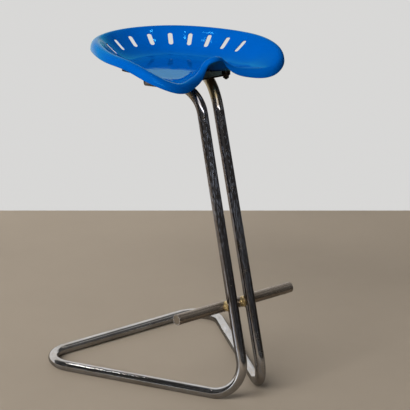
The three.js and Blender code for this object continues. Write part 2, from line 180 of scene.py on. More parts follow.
class StoolStageSettings(bpy.types.PropertyGroup):
    floor: colour("Floor", "Colour of the plain floor", (0.365, 0.305, 0.238))
    wall: colour("Wall", "Colour of the plain wall", (0.80, 0.795, 0.785))
    camera_place: FloatVectorProperty(name="Camera", description="Place of the camera", unit="LENGTH", size=3,
                                      subtype="TRANSLATION", default=(-2.452467, -3.131045, 1.681534))
    camera_turn: degrees("Camera turn", "Turn of the camera about the vertical", -38.7796)
    camera_dip: degrees("Camera dip", "How far the camera looks down", 17.8093)
    lens: FloatProperty(name="Lens", description="Focal length on a 36 mm sensor", default=158.0488,
                        subtype="DISTANCE_CAMERA", unit="CAMERA", min=1.0)
    wall_distance: length("Wall distance", "From the camera to the wall, along the floor", 5.18)
    wall_height: length("Wall height", "Height of the wall", 1.6)
    key: FloatProperty(name="Lamps", description="Power of the largest lamp; the others follow it",
                       default=800.0, unit="POWER", min=0.0)
    sky: FloatProperty(name="Sky", description="Strength of the soft light from all round", default=1.0,
                       min=0.0)


# Node helpers. A socket takes a number, a colour or another node's output.

VALUE, VECTOR, COLOUR, GEOMETRY = (f"NodeSocket{form}" for form in ("Float", "Vector", "Color", "Geometry"))
WHOLE, MATERIAL, OBJECT = (f"NodeSocket{form}" for form in ("Int", "Material", "Object"))
FORMS = {float: VALUE, int: WHOLE, tuple: COLOUR}


def socket_of(sockets, key):
    """A socket by its number, its identifier, or its name with _ for a blank."""
    if isinstance(key, int):
        return sockets[key]
    by_identifier = (socket for socket in sockets if socket.identifier == key)
    return next(by_identifier, None) or sockets[key.replace("_", " ")]


def feed(node, *values, **named):
    """Fills a node's sockets, in their order or by name."""
    for key, value in (*enumerate(values), *named.items()):
        socket = socket_of(node.inputs, key)
        if isinstance(value, bpy.types.NodeSocket):
            node.id_data.links.new(value, socket)
        else:
            socket.default_value = value


def put(tree, kind, *values, **named):
    """Adds a node. Names with a capital are its sockets, the others its settings."""
    made = tree.nodes.new(kind)
    for key, value in named.items():
        if key[0].islower():
            setattr(made, key, value)
    feed(made, *values, **{key: value for key, value in named.items() if key[0].isupper()})
    return made


def wire(tree, kind, *values, **named):
    """Adds a node and gives its first output."""
    return put(tree, kind, *values, **named).outputs[0]


def tree_of(*values):
    return next(value.id_data for value in values if isinstance(value, bpy.types.NodeSocket))


def math_node(operation):
    def add(*values):
        return wire(tree_of(*values), "ShaderNodeMath", *values, operation=operation)
    return add


plus, minus, times, over = (math_node(name) for name in ("ADD", "SUBTRACT", "MULTIPLY", "DIVIDE"))
larger, smaller, power = (math_node(name) for name in ("MAXIMUM", "MINIMUM", "POWER"))
root, positive, fraction = (math_node(name) for name in ("SQRT", "ABSOLUTE", "FRACT"))


def measure(operation, *vectors):
    """The number that a vector node puts out."""
    return put(tree_of(*vectors), "ShaderNodeVectorMath", *vectors, operation=operation).outputs["Value"]


def dot(vector, axis):
    return measure("DOT_PRODUCT", vector, axis)


def height_of(vector):
    return put(tree_of(vector), "ShaderNodeSeparateXYZ", vector).outputs["Z"]


def mix_colour(factor, first, second, blend="MIX"):
    made = put(tree_of(factor, first, second), "ShaderNodeMix", data_type="RGBA", blend_type=blend,
               Factor_Float=factor, A_Color=first, B_Color=second)
    return socket_of(made.outputs, "Result_Color")


def mix_shader(share, first, second):
    return wire(tree_of(share), "ShaderNodeMixShader", share, first, second)


def spread(value, low, high, start=0.0, end=1.0):
    """Maps value from low..high onto start..end and stops at the ends."""
    return wire(tree_of(value), "ShaderNodeMapRange", value, low, high, start, end)


def cloud(place, scale, **more):
    return wire(tree_of(place), "ShaderNodeTexNoise", Vector=place, Scale=scale, **more)


def new_group(name, kind="ShaderNodeTree", **inputs):
    """A node group. An input is given by its default, or by its socket type where it has none."""
    tree = bpy.data.node_groups.new(name, kind)
    for key, value in inputs.items():
        bare = isinstance(value, str)
        form = value if bare else FORMS[type(value)]
        socket = tree.interface.new_socket(key.replace("_", " "), in_out="INPUT", socket_type=form)
        if not bare:
            socket.default_value = value
    return tree, tree.nodes.new("NodeGroupInput").outputs


def give(label, form, value):
    """Ends a group with its one output."""
    tree = value.id_data
    tree.interface.new_socket(label, in_out="OUTPUT", socket_type=form)
    put(tree, "NodeGroupOutput", value)
    return tree


def group(name):
    """The node group of that name, built when it is first asked for."""
    return bpy.data.node_groups.get(name) or GROUPS[name]()


# Effects that several finishes share

def uneven_tone():
    """Two tones of one colour in soft clouds."""
    _, given = new_group("uneven_tone", Vector=VECTOR, Colour=(1, 1, 1, 1), Other_Colour=(0, 0, 0, 1),
                         Scale=20.0, Amount=0.5)
    soft = cloud(given["Vector"], given["Scale"], Detail=5.0, Roughness=0.6)
    mask = times(spread(soft, 0.38, 0.66), given["Amount"])
    return give("Colour", COLOUR, mix_colour(mask, given["Colour"], given["Other Colour"]))


def pits():
    """Small scattered pits: a mask that is 1 in a pit."""
    tree, given = new_group("pits", Vector=VECTOR, Scale=400.0, Size=0.25, Patches=18.0, Cover=0.5)
    cells = wire(tree, "ShaderNodeTexVoronoi", Vector=given["Vector"], Scale=given["Scale"], Randomness=1.0)
    patches = cloud(given["Vector"], given["Patches"], Detail=3.0)
    size = times(given["Size"], spread(patches, minus(0.72, given["Cover"]), 0.75, 0.0, 1.6))
    return give("Mask", VALUE, spread(minus(size, cells), 0.0, 0.08))


def waves():
    """Soft unevenness as a normal, with an optional second height."""
    tree, given = new_group("waves", Vector=VECTOR, Scale=60.0, Detail=2.0, Height=0.0005, Strength=0.3,
                            Extra=0.0)
    height = plus(cloud(given["Vector"], given["Scale"], Detail=given["Detail"]), given["Extra"])
    return give("Normal", VECTOR, wire(tree, "ShaderNodeBump", Height=height, Distance=given["Height"],
                                       Strength=given["Strength"]))


def dulling():
    """Roughness that varies softly, as handling and polishing leave it."""
    _, given = new_group("dulling", Vector=VECTOR, Scale=30.0, Polished=0.08, Dull=0.2)
    soft = cloud(given["Vector"], given["Scale"], Detail=6.0, Roughness=0.65)
    return give("Roughness", VALUE, spread(soft, 0.35, 0.7, given["Polished"], given["Dull"]))


def heat_tint():
    """A mask that fades out round one heated place."""
    _, given = new_group("heat_tint", Vector=VECTOR, Centre=VECTOR, Radius=0.04)
    ragged = cloud(given["Vector"], 70.0, Detail=4.0)
    share = over(measure("DISTANCE", given["Vector"], given["Centre"]), given["Radius"])
    return give("Mask", VALUE, spread(plus(share, times(minus(ragged, 0.5), 1.1)), 0.45, 1.0, 1.0, 0.0))


def effect(name, place, **sockets):
    """Places a shared effect in a material and gives its output."""
    return wire(tree_of(place), "ShaderNodeGroup", node_tree=group(name), Vector=place, **sockets)


def new_material(name, **constants):
    """A material, its Principled shader with constants on its own sockets, and the place on the object."""
    material = bpy.data.materials.new(name)
    material.use_nodes = True
    tree = material.node_tree
    tree.nodes.clear()
    shader = put(tree, "ShaderNodeBsdfPrincipled", **constants)
    put(tree, "ShaderNodeOutputMaterial", shader.outputs[0])
    return material, shader, put(tree, "ShaderNodeTexCoord").outputs["Object"]


def cover(material, surface):
    """Gives a material this shader in place of its own."""
    feed(next(node for node in material.node_tree.nodes if node.type == "OUTPUT_MATERIAL"), surface)


def opaque(tone, share=1.0):
    return tuple(channel * share for channel in tone) + (1.0,)


# Finishes

def seat_enamel(tone, shine):
    """Glossy enamel with painted shade on its downward faces: the gloss over the tone takes a little of its
    blue.
    """
    material, shader, place = new_material("seat_enamel", Metallic=0.0, IOR=1.5, Specular_IOR_Level=0.0)
    tree = material.node_tree
    tones = effect("uneven_tone", place, Colour=opaque(tone), Other_Colour=opaque(tone, 0.86), Scale=9.0,
                   Amount=0.6)
    dust = effect("pits", place, Scale=520.0, Size=0.14, Patches=14.0, Cover=0.24)
    speckled = mix_colour(times(dust, 0.14), tones, (0.2, 0.32, 0.6, 1))
    # Painted shade: faces that look downwards are mixed towards near black.
    painted_shade = spread(height_of(put(tree, "ShaderNodeNewGeometry").outputs["Normal"]), -0.85, -0.5, 0.75, 0.0)
    rough = effect("dulling", place, Scale=26.0, Polished=0.02, Dull=0.10)
    peel = effect("waves", place, Scale=60.0, Detail=1.0, Height=0.0012, Strength=0.07)
    painted_shade_colour = mix_colour(painted_shade, speckled, (0.022, 0.019, 0.018, 1))
    feed(shader, Base_Color=painted_shade_colour, Roughness=rough, Normal=peel)
    share = wire(tree, "ShaderNodeFresnel", IOR=1.48, Normal=peel)
    sheen = mix_colour(spread(share, 0.06, 0.18), opaque(shine), (0.08, 0.80, 1.0, 1.0))
    sheen = mix_colour(spread(share, 0.20, 0.33), sheen, (0.64, 1.0, 1.0, 1.0))
    gloss = wire(tree, "ShaderNodeBsdfGlossy", Color=sheen, Roughness=rough, Normal=peel)
    cover(material, mix_shader(share, shader.outputs[0], gloss))
    return material


def aged_chrome(name, tone, aged, patina, heated, dull, metal=1.0, spots=0.6):
    """Plated tube: bright near the floor and darker above it, with fine pits and soft waves along the tube.
    """
    material, shader, place = new_material(name, Metallic=metal, IOR=1.5)
    tree = material.node_tree
    rise = height_of(place)
    along = put(tree, "ShaderNodeAttribute", attribute_name="straight_place").outputs["Vector"]
    squashed, drawn = (wire(tree, "ShaderNodeMapping", Vector=along, Scale=(share, 1.0, 1.0))
                       for share in (0.22, 0.14))
    # The tone turns from the bright one to the darker one between 0.05 and 0.16 m above the floor.
    shaded = mix_colour(spread(rise, 0.05, 0.16), opaque(tone), opaque(aged))
    streaks = effect("uneven_tone", squashed, Other_Colour=(0.66, 0.65, 0.64, 1), Scale=55.0, Amount=0.6)
    bloom = effect("uneven_tone", place, Other_Colour=(0.82, 0.75, 0.68, 1), Scale=16.0, Amount=0.75)
    for layer in (streaks, bloom):
        shaded = mix_colour(1.0, shaded, layer, "MULTIPLY")
    flecks = effect("pits", drawn, Scale=460.0, Size=0.40, Patches=30.0, Cover=0.62)
    flecked = times(flecks, spread(rise, 0.3, 0.55, spots * 0.35, spots))
    shaded = mix_colour(flecked, shaded, (0.56, 0.66, 0.86, 1))
    heat = 0.0
    for centre, radius in heated:
        tint = effect("heat_tint", place, Centre=centre, Radius=radius)
        shaded = mix_colour(times(tint, 0.85), shaded, opaque(patina))
        heat = larger(tint, heat)
    holes = effect("pits", along, Scale=620.0, Size=0.30, Patches=45.0, Cover=0.24)
    shaded = mix_colour(times(holes, 0.8), shaded, opaque(patina, 0.3))
    rough = effect("dulling", squashed, Scale=90.0, Polished=dull * 0.45, Dull=dull)
    normal = effect("waves", squashed, Scale=110.0, Detail=2.0, Height=0.00045, Strength=0.08,
                    Extra=times(holes, -0.3))
    feed(shader, Base_Color=shaded, Metallic=spread(flecked, 0.0, 1.0, metal, metal - 0.26),
         Roughness=plus(rough, plus(times(holes, 0.35), times(heat, 0.28))), Normal=normal)
    return material


def plain_finish(name, tone, other, patches, gloss, bumps, **constants):
    """A tone with another one in patches, its gloss and its bumps."""
    material, shader, place = new_material(name, **constants)
    feed(shader, Base_Color=effect("uneven_tone", place, Colour=opaque(tone), Other_Colour=other, **patches),
         Roughness=effect("dulling", place, **gloss), Normal=effect("waves", place, **bumps))
    return material


def brazing_brass(tone):
    return plain_finish("brazing_brass", tone, opaque(tone, 0.5), dict(Scale=170.0, Amount=0.7),
                        dict(Scale=240.0, Polished=0.16, Dull=0.45),
                        dict(Scale=300.0, Detail=3.0, Height=0.0006, Strength=0.35), Metallic=0.75)


def bar_end_steel(tone):
    return plain_finish("bar_end_steel", tone, opaque(tone, 0.55), dict(Scale=260.0, Amount=0.7),
                        dict(Scale=400.0, Polished=0.32, Dull=0.55),
                        dict(Scale=900.0, Detail=5.0, Height=0.0003, Strength=0.4), Metallic=0.85)


def bright_zinc(tone):
    return plain_finish("bright_zinc", tone, (0.20, 0.16, 0.11, 1), dict(Scale=130.0, Amount=0.7),
                        dict(Scale=220.0, Polished=0.24, Dull=0.45),
                        dict(Scale=800.0, Detail=3.0, Height=0.0002, Strength=0.3), Metallic=1.0)


def moulded_black(tone):
    return plain_finish("moulded_black", tone, opaque(tone, 2.2), dict(Scale=120.0, Amount=0.6),
                        dict(Scale=160.0, Polished=0.38, Dull=0.6),
                        dict(Scale=1500.0, Detail=2.0, Height=0.0002, Strength=0.4), Metallic=0.0, IOR=1.46)


def plate_enamel(tone):
    """Dark enamel, chipped down to rust."""
    material, shader, place = new_material("plate_enamel", Metallic=0.0, IOR=1.3, Coat_Roughness=0.2)
    tones = effect("uneven_tone", place, Colour=opaque(tone), Other_Colour=(0.05, 0.03, 0.02, 1), Scale=34.0,
                   Amount=0.55)
    chips = effect("pits", place, Scale=260.0, Size=0.3, Patches=30.0, Cover=0.22)
    rough = effect("dulling", place, Scale=60.0, Polished=0.24, Dull=0.48)
    normal = effect("waves", place, Scale=180.0, Detail=3.0, Height=0.0006, Strength=0.3,
                    Extra=times(chips, -0.5))
    feed(shader, Base_Color=mix_colour(times(chips, 0.7), tones, (0.14, 0.06, 0.03, 1)), Roughness=rough,
         Normal=normal, Coat_Weight=spread(chips, 0.0, 1.0, 0.12, 0.0))
    return material


# Mesh helpers

def new_object(name, data):
    made = bpy.data.objects.new(name, data)
    bpy.context.scene.collection.objects.link(made)
    return made


def new_mesh(name, points, edges=(), faces=()):
    mesh = bpy.data.meshes.new(name)
    mesh.from_pydata([tuple(point) for point in points], edges, faces)
    return mesh


def mesh_piece(name, points, faces, material=None, sharp=None, flat_faces=()):
    """An object at the origin with its place in its mesh, smooth but for edges over the sharp angle."""
    mesh = new_mesh(name, points, faces=faces)
    if material:
        mesh.materials.append(material)
    soften(mesh, sharp)
    for index in flat_faces:
        mesh.polygons[index].use_smooth = False
    return new_object(name, mesh)


def soften(mesh, sharp=None):
    mesh.polygons.foreach_set("use_smooth", [True] * len(mesh.polygons))
    if sharp:
        mesh.set_sharp_from_angle(angle=math.radians(sharp))
    mesh.update()


def clean(mesh, closed_ends=()):
    """Merges doubles, closes a tube's wall at its ends (centre, reach) and turns the faces outwards."""
    shell = bmesh.new()
    shell.from_mesh(mesh)
    bmesh.ops.remove_doubles(shell, verts=shell.verts, dist=1e-6)
    for centre, reach in closed_ends:
        rim = [edge for edge in shell.edges if edge.is_boundary
               and all((vert.co - centre).length < reach for vert in edge.verts)]
        radii = [(edge.verts[0].co - centre).length for edge in rim]
        middle = (min(radii) + max(radii)) / 2
        bore = {vert for edge, radius in zip(rim, radii) if radius < middle for vert in edge.verts}
        for edge, radius in zip(rim, radii):
            if radius > middle:
                first, second = (min(bore, key=lambda other: (other.co - vert.co).length)
                                 for vert in edge.verts)
                shell.faces.new((*edge.verts, second, first))
    bmesh.ops.recalc_face_normals(shell, faces=shell.faces)
    shell.to_mesh(mesh)
    shell.free()


def bands(loops):
    """Faces between neighbouring loops of point numbers. A loop that repeats one point closes to a fan."""
    faces = []
    for here, there in zip(loops, loops[1:]):
        for i in range(len(here)):
            j = (i + 1) % len(here)
            face = tuple(dict.fromkeys((here[i], here[j], there[j], there[i])))
            if len(face) > 2:
                faces.append(face)
    return faces


def turned(layers, facets=FACETS):
    """A closed skin about Z through layers of radius and height, each one number or one for every facet."""
    angles = np.arange(facets) / facets * math.tau
    points, loops = [], []
    for radius, height in layers:
        first = len(points)
        if np.any(radius):
            ring = np.broadcast_arrays(radius * np.cos(angles), radius * np.sin(angles), height)
            points += np.stack(ring, axis=-1).tolist()
            loops.append(range(first, first + facets))
        else:
            points.append((0.0, 0.0, height))
            loops.append([first] * facets)
    return points, bands(loops + loops[:1])


def settle(piece, nodes):
    """The piece rides on the frame and stands for its CAD nodes."""
    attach(piece, BODY)
    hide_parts(*nodes)


# Geometry node trees

def geometry_group(name, **inputs):
    return new_group(name, "GeometryNodeTree", Geometry=GEOMETRY, **inputs, Material=MATERIAL)


def attribute(tree, name, form="FLOAT"):
    return wire(tree, "GeometryNodeInputNamedAttribute", data_type=form, Name=name)


def store(geometry, name, value, form="FLOAT"):
    return wire(geometry.id_data, "GeometryNodeStoreNamedAttribute", data_type=form, domain="POINT",
                Geometry=geometry, Name=name, Value=value)


def real_geometry(geometry, material):
    """Ends a tree with real geometry in its material."""
    real = wire(geometry.id_data, "GeometryNodeRealizeInstances", geometry)
    coated = wire(geometry.id_data, "GeometryNodeSetMaterial", Geometry=real, Material=material)
    return give("Geometry", GEOMETRY, coated)


def bent_tube():
    """A tube with wall along a line whose corners carry a bend radius. Its ends are rounded by the lip."""
    tree, given = geometry_group("bent_tube", Outer_Radius=0.012, Bore_Radius=0.01, Lip=LIP,
                                 Round_Steps=FACETS, Bend_Steps=24)
    line = wire(tree, "GeometryNodeMeshToCurve", given["Geometry"])
    bent = wire(tree, "GeometryNodeFilletCurve", mode="POLY", Curve=line, Count=given["Bend Steps"],
                Radius=attribute(tree, "bend_radius"))
    here = put(tree, "GeometryNodeSplineParameter").outputs["Length"]
    whole = put(tree, "GeometryNodeSplineLength").outputs["Length"]
    share = spread(over(smaller(here, minus(whole, here)), given["Lip"]), 0.0, 1.0, 1.0, 0.0)
    cut = times(minus(1.0, root(minus(1.0, times(share, share)))), given["Lip"])
    route = store(bent, "run", here)
    skins = put(tree, "GeometryNodeJoinGeometry")
    for radius, sign in ((given["Outer Radius"], -1.0), (given["Bore Radius"], 1.0)):
        ring = wire(tree, "GeometryNodeCurvePrimitiveCircle", Resolution=given["Round Steps"], Radius=radius)
        ring = store(ring, "round", wire(tree, "GeometryNodeInputPosition"), "FLOAT_VECTOR")
        feed(skins, wire(tree, "GeometryNodeCurveToMesh", Curve=route, Profile_Curve=ring,
                         Scale=plus(1.0, times(over(cut, radius), sign))))
    across = put(tree, "ShaderNodeSeparateXYZ", attribute(tree, "round", "FLOAT_VECTOR")).outputs
    straight = wire(tree, "ShaderNodeCombineXYZ", attribute(tree, "run"), across["X"], across["Y"])
    marked = store(skins.outputs[0], "straight_place", straight, "FLOAT_VECTOR")
    return real_geometry(marked, given["Material"])


def repeat_at_places():
    """Sets a template at every point, its Z axis along the point's aim, turned by a fixed random share."""
    tree, given = geometry_group("repeat_at_places", Template=OBJECT, Turn=0.0, Seed=1)
    template = put(tree, "GeometryNodeObjectInfo", given["Template"]).outputs["Geometry"]
    upright = wire(tree, "FunctionNodeAlignRotationToVector", axis="Z",
                   Vector=attribute(tree, "aim", "FLOAT_VECTOR"))
    angle = put(tree, "FunctionNodeRandomValue", data_type="FLOAT", Min_001=0.0, Max_001=given["Turn"],
                Seed=given["Seed"])
    spin = wire(tree, "FunctionNodeAxisAngleToRotation", Axis=(0, 0, 1),
                Angle=socket_of(angle.outputs, "Value_001"))
    both = wire(tree, "FunctionNodeRotateRotation", rotation_space="LOCAL", Rotation=upright, Rotate_By=spin)
    copies = wire(tree, "GeometryNodeInstanceOnPoints", Points=given["Geometry"], Instance=template,
                  Rotation=both)
    return real_geometry(copies, given["Material"])


def weld_bead():
    """A rippled bead along a line: overlapping waves, swollen in the middle, with uneven sides."""
    tree, given = geometry_group("weld_bead", Radius=0.002, Ripples=10, Seed=1)
    line = wire(tree, "GeometryNodeMeshToCurve", given["Geometry"])
    fine = wire(tree, "GeometryNodeResampleCurve", Curve=line, Count=plus(times(given["Ripples"], 7.0), 1.0))
    along = put(tree, "GeometryNodeSplineParameter").outputs["Factor"]
    beat = fraction(times(along, given["Ripples"]))
    ripple = times(root(minus(1.0, times(beat, beat))), 0.16)
    ends = positive(minus(times(along, 2.0), 1.0))
    body = root(minus(1.0, power(ends, 12.0)))
    sway = wire(tree, "ShaderNodeTexNoise", noise_dimensions="1D", W=plus(times(along, 9.0), given["Seed"]),
                Scale=1.0)
    size = times(body, plus(ripple, plus(0.68, times(sway, 0.3))))
    ring = wire(tree, "GeometryNodeCurvePrimitiveCircle", Resolution=20, Radius=given["Radius"])
    bead = wire(tree, "GeometryNodeCurveToMesh", Curve=fine, Profile_Curve=ring, Scale=larger(size, 0.02),
                Fill_Caps=True)
    return real_geometry(bead, given["Material"])


GROUPS = {make.__name__: make for make in (uneven_tone, pits, waves, dulling, heat_tint, bent_tube,
                                           repeat_at_places, weld_bead)}


def run_tree(piece, name, **values):
    """Runs a tree on an object and leaves its result as the object's plain mesh."""
    modifier = piece.modifiers.new(name, "NODES")
    modifier.node_group = group(name)
    for item in modifier.node_group.interface.items_tree:
        key = item.name.replace(" ", "_")
        if item.in_out == "INPUT" and key in values:
            modifier[item.identifier] = values[key]
    bpy.context.view_layer.update()
    evaluated = piece.evaluated_get(bpy.context.evaluated_depsgraph_get())
    result = bpy.data.meshes.new_from_object(evaluated)
    piece.modifiers.clear()
    worn = piece.data
    piece.data = result
    bpy.data.meshes.remove(worn)
    if not result.polygons:
        raise RuntimeError(f"{piece.name} came out of its tree empty")
    result.name = piece.name


def line_object(name, points, bends=()):
    """One open line, which a tree takes as its path."""
    mesh = new_mesh(name, points, [(i, i + 1) for i in range(len(points) - 1)])
    if bends:
        mesh.attributes.new("bend_radius", "FLOAT", "POINT").data.foreach_set("value", bends)
    return new_object(name, mesh)


def tube_piece(name, points, bends, outer, bore, material):
    """A tube closed at both ends, with close points there, on which the lip's rounding is drawn."""
    steps = [LIP * share for share in (0.0, 0.08, 0.3, 0.6, 1.0, 1.6)]
    into = (points[1] - points[0]).normalized()
    back = (points[-2] - points[-1]).normalized()
    head = [points[0] + into * step for step in steps]
    tail = [points[-1] + back * step for step in reversed(steps)]
    straight = [0.0] * len(steps)
    made = line_object(name, head + points[1:-1] + tail, straight + bends[1:-1] + straight)
    run_tree(made, "bent_tube", Outer_Radius=outer, Bore_Radius=bore, Lip=LIP, Material=material)
    clean(made.data, [(end, outer * 1.1) for end in (points[0], points[-1])])
    soften(made.data, sharp=50)
    return made


def set_at_places(name, template, spots, aims, material, turn=0.0, seed=1, sharp=30):
    """Repeats a template shape, given as points and faces, at each spot."""
    mesh = new_mesh(name, spots)
    flat = [value for aim in aims for value in aim]
    mesh.attributes.new("aim", "FLOAT_VECTOR", "POINT").data.foreach_set("vector", flat)
    made = new_object(name, mesh)
    model = mesh_piece(name + "_template", *template)
    run_tree(made, "repeat_at_places", Template=model, Turn=turn, Seed=seed, Material=material)
    shape = model.data
    bpy.data.objects.remove(model)
    bpy.data.meshes.remove(shape)
    clean(made.data)
    soften(made.data, sharp)
    return made


# Places on the frame, taken from the CAD pieces' own boxes

def places():
    """Main points of the stool's right half."""
    plate_low, plate_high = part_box("seat_plate")
    leg_height = plate_low[2] - GAP - CAD_TUBE
    rail_height = CAD_TUBE * math.cos(math.pi / CAD_FACETS)
    knee_along = plate_low[1] - PLATE_SETBACK
    foot_along = knee_along - (leg_height - rail_height) * math.tan(LEAN)
    seat_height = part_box("spacer_front_left")[1][2] + GAP + CAD_SHEET
    return {
        "foot": Vector((FOOT_HALF_SPACING, foot_along, rail_height)),
        "corner": Vector((BASE_HALF_WIDTH, foot_along + BASE_LENGTH, rail_height)),
        "knee": Vector((KNEE_HALF_SPACING, knee_along, leg_height)),
        "leg_end": Vector((KNEE_HALF_SPACING + LEG_LENGTH * math.sin(SPLAY),
                           knee_along + LEG_LENGTH * math.cos(SPLAY), leg_height)),
        "seat": Vector((0.0, knee_along + SEAT_SETBACK, seat_height)),
        "plate_low": Vector(plate_low),
        "plate_high": Vector(plate_high),
    }


def mirrored(point):
    return Vector((-point[0], point[1], point[2]))


def centre_of(node):
    low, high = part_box(node)
    return (Vector(low) + Vector(high)) / 2


# Seat pan

def loop_value(shares, t, odd=False):
    """Closed cubic B-spline over the mirrored control values."""
    sign = -1.0 if odd else 1.0
    ring = np.array(list(shares) + [sign * share for share in shares[-2:0:-1]])
    place = (t % 1.0) * len(ring)
    index = np.floor(place).astype(int)
    s = place - index
    weights = ((1 - s) ** 3, 3 * s ** 3 - 6 * s ** 2 + 4, -3 * s ** 3 + 3 * s ** 2 + 3 * s + 1, s ** 3)
    return sum(weight * ring[(index + i - 1) % len(ring)] for i, weight in enumerate(weights)) / 6


def bezier(a, b, c, d, s):
    r = 1 - s
    return a * r ** 3 + 3 * b * r ** 2 * s + 3 * c * r * s ** 2 + d * s ** 3


def unit(vectors):
    return vectors / np.linalg.norm(vectors, axis=-1)[..., None]


class PanSurface:
    """The pan's upper skin. Rows run 0 to 1 over the floor, to 2 up the wall and to 3 down the flange."""

    def __init__(self, sizes, centre):
        self.sizes = sizes
        self.centre = np.array(centre)
        self.fine = np.linspace(0.0, 1.0, 8001)
        ring = self.wall(self.fine, np.full_like(self.fine, SLOT_RISE))
        steps = np.linalg.norm(np.diff(ring, axis=0), axis=1)
        self.run = np.concatenate(([0.0], np.cumsum(steps)))

    def t_at(self, run):
        return np.interp(run % self.run[-1], self.run, self.fine)

    def crest(self, t):
        sizes = self.sizes
        return np.stack((sizes.half_width * loop_value(CREST_ACROSS, t, True),
                         sizes.half_length * loop_value(CREST_ALONG, t),
                         sizes.rim_height * loop_value(CREST_HEIGHT, t)), axis=-1)

    def reach(self, rise):
        return FLOOR_SHARE + (1 - FLOOR_SHARE) * bezier(0, WALL_FOOT, WALL_TOP, 1, rise)

    def wall(self, t, rise):
        reach = self.reach(rise)
        return self.crest(t) * np.stack((reach, reach, bezier(0, 0, 1, 1, rise)), axis=-1)

    def flange(self, t, roll):
        step = 1e-4
        along = self.crest(t + step) - self.crest(t - step)
        out = unit(np.stack((-along[..., 1], along[..., 0]), axis=-1))
        width = self.sizes.flange_width * loop_value(FLANGE_OUT, t) * bezier(0, FLANGE_ROLL, 1, 1, roll)
        drop = self.sizes.flange_drop * loop_value(FLANGE_DROP, t) * bezier(0, 0, 1 - FLANGE_ROLL, 1, roll)
        return self.crest(t) + np.stack((out[..., 0] * width, out[..., 1] * width, -drop), axis=-1)

    def raw(self, t, row):
        floor = self.crest(t) * (FLOOR_SHARE * np.clip(row, 0, 1))[..., None]
        floor[..., 2] = 0.0
        wall = self.wall(t, np.clip(row - 1, 0, 1))
        flange = self.flange(t, np.clip(row - 2, 0, 1))
        row = row[..., None]
        return np.where(row < 1, floor, np.where(row < 2, wall, flange))

    def points(self, t, row):
        """The skin with the foot of the wall eased into the floor."""
        t, row = np.broadcast_arrays(t, row)
        ease = FOOT_EASE * np.clip(1 - ((row - 1) / FOOT_REACH) ** 2, 0, 1) ** 2
        return (self.raw(t, row - ease) + 4 * self.raw(t, row) + self.raw(t, row + ease)) / 6

    def frame(self, t, row):
        """Points with their unit normals and their unit directions up the rows."""
        t, row = np.broadcast_arrays(np.asarray(t, float), np.asarray(row, float))
        aside, climb = 2e-4, 0.004
        safe = np.clip(row, 0.02, 3.0)
        along = self.points(t + aside, safe) - self.points(t - aside, safe)
        up = self.points(t, np.clip(safe + climb, 0.0, 3.0)) - self.points(t, np.clip(safe - climb, 0.0, 3.0))
        return self.points(t, row) + self.centre, unit(np.cross(along, up)), unit(up)


def slot_outline(width, height, side_steps, end_steps):
    """Points and outward directions round a slot, counter-clockwise from its lower left shoulder."""
    radius, straight = width / 2, (height - width) / 2
    shoulder = math.radians(30)
    bend = radius * shoulder
    whole = 2 * straight + 2 * bend
    points, outward = [], []

    def add(angle, lift):
        points.append((radius * math.cos(angle), lift + radius * math.sin(angle)))
        outward.append((math.cos(angle), math.sin(angle)))

    for turn, flip in ((math.pi, -1), (0.0, 1)):
        for step in range(end_steps):
            add(turn + shoulder + (math.pi - 2 * shoulder) * step / end_steps, straight * flip)
        side = math.pi - turn
        for step in range(side_steps):
            run = whole * step / side_steps
            if run < bend:
                add(side - shoulder + run / radius, straight * flip)
            elif run > whole - bend:
                add(side + (run - whole + bend) / radius, -straight * flip)
            else:
                points.append((-radius * flip, (straight + bend - run) * flip))
                outward.append((float(-flip), 0.0))
    return np.array(points), np.array(outward)


def pan_rows():
    """Rows of the grid, and the first row of the slots' windows."""
    bottom, top = 1 + SLOT_RISE - SLOT_WINDOW, 1 + SLOT_RISE + SLOT_WINDOW
    floor = 1 - (1 - np.linspace(0, 1, 15)[1:-1]) ** 1.25
    low = np.linspace(1, bottom, 14)[:-1]
    window = np.linspace(bottom, top, WINDOW_ROWS + 1)
    high = np.linspace(top, 2, 13)[1:]
    flange = np.linspace(2, 3, 15)[1:]
    return np.concatenate((floor, low, window, high, flange)), len(floor) + len(low)


def pan_columns(surface, pitch, slots):
    """Places of the columns round the wall, the slots' ones first, and the number of the middle one there."""
    half = slots * PITCH_COLUMNS // 2
    step = pitch / PITCH_COLUMNS
    start, end = half * step, surface.run[-1] - half * step
    free = max(8, round((end - start) / step))
    held = np.arange(-half, half) * step
    return np.concatenate((held, np.linspace(start, end, free, endpoint=False))), half


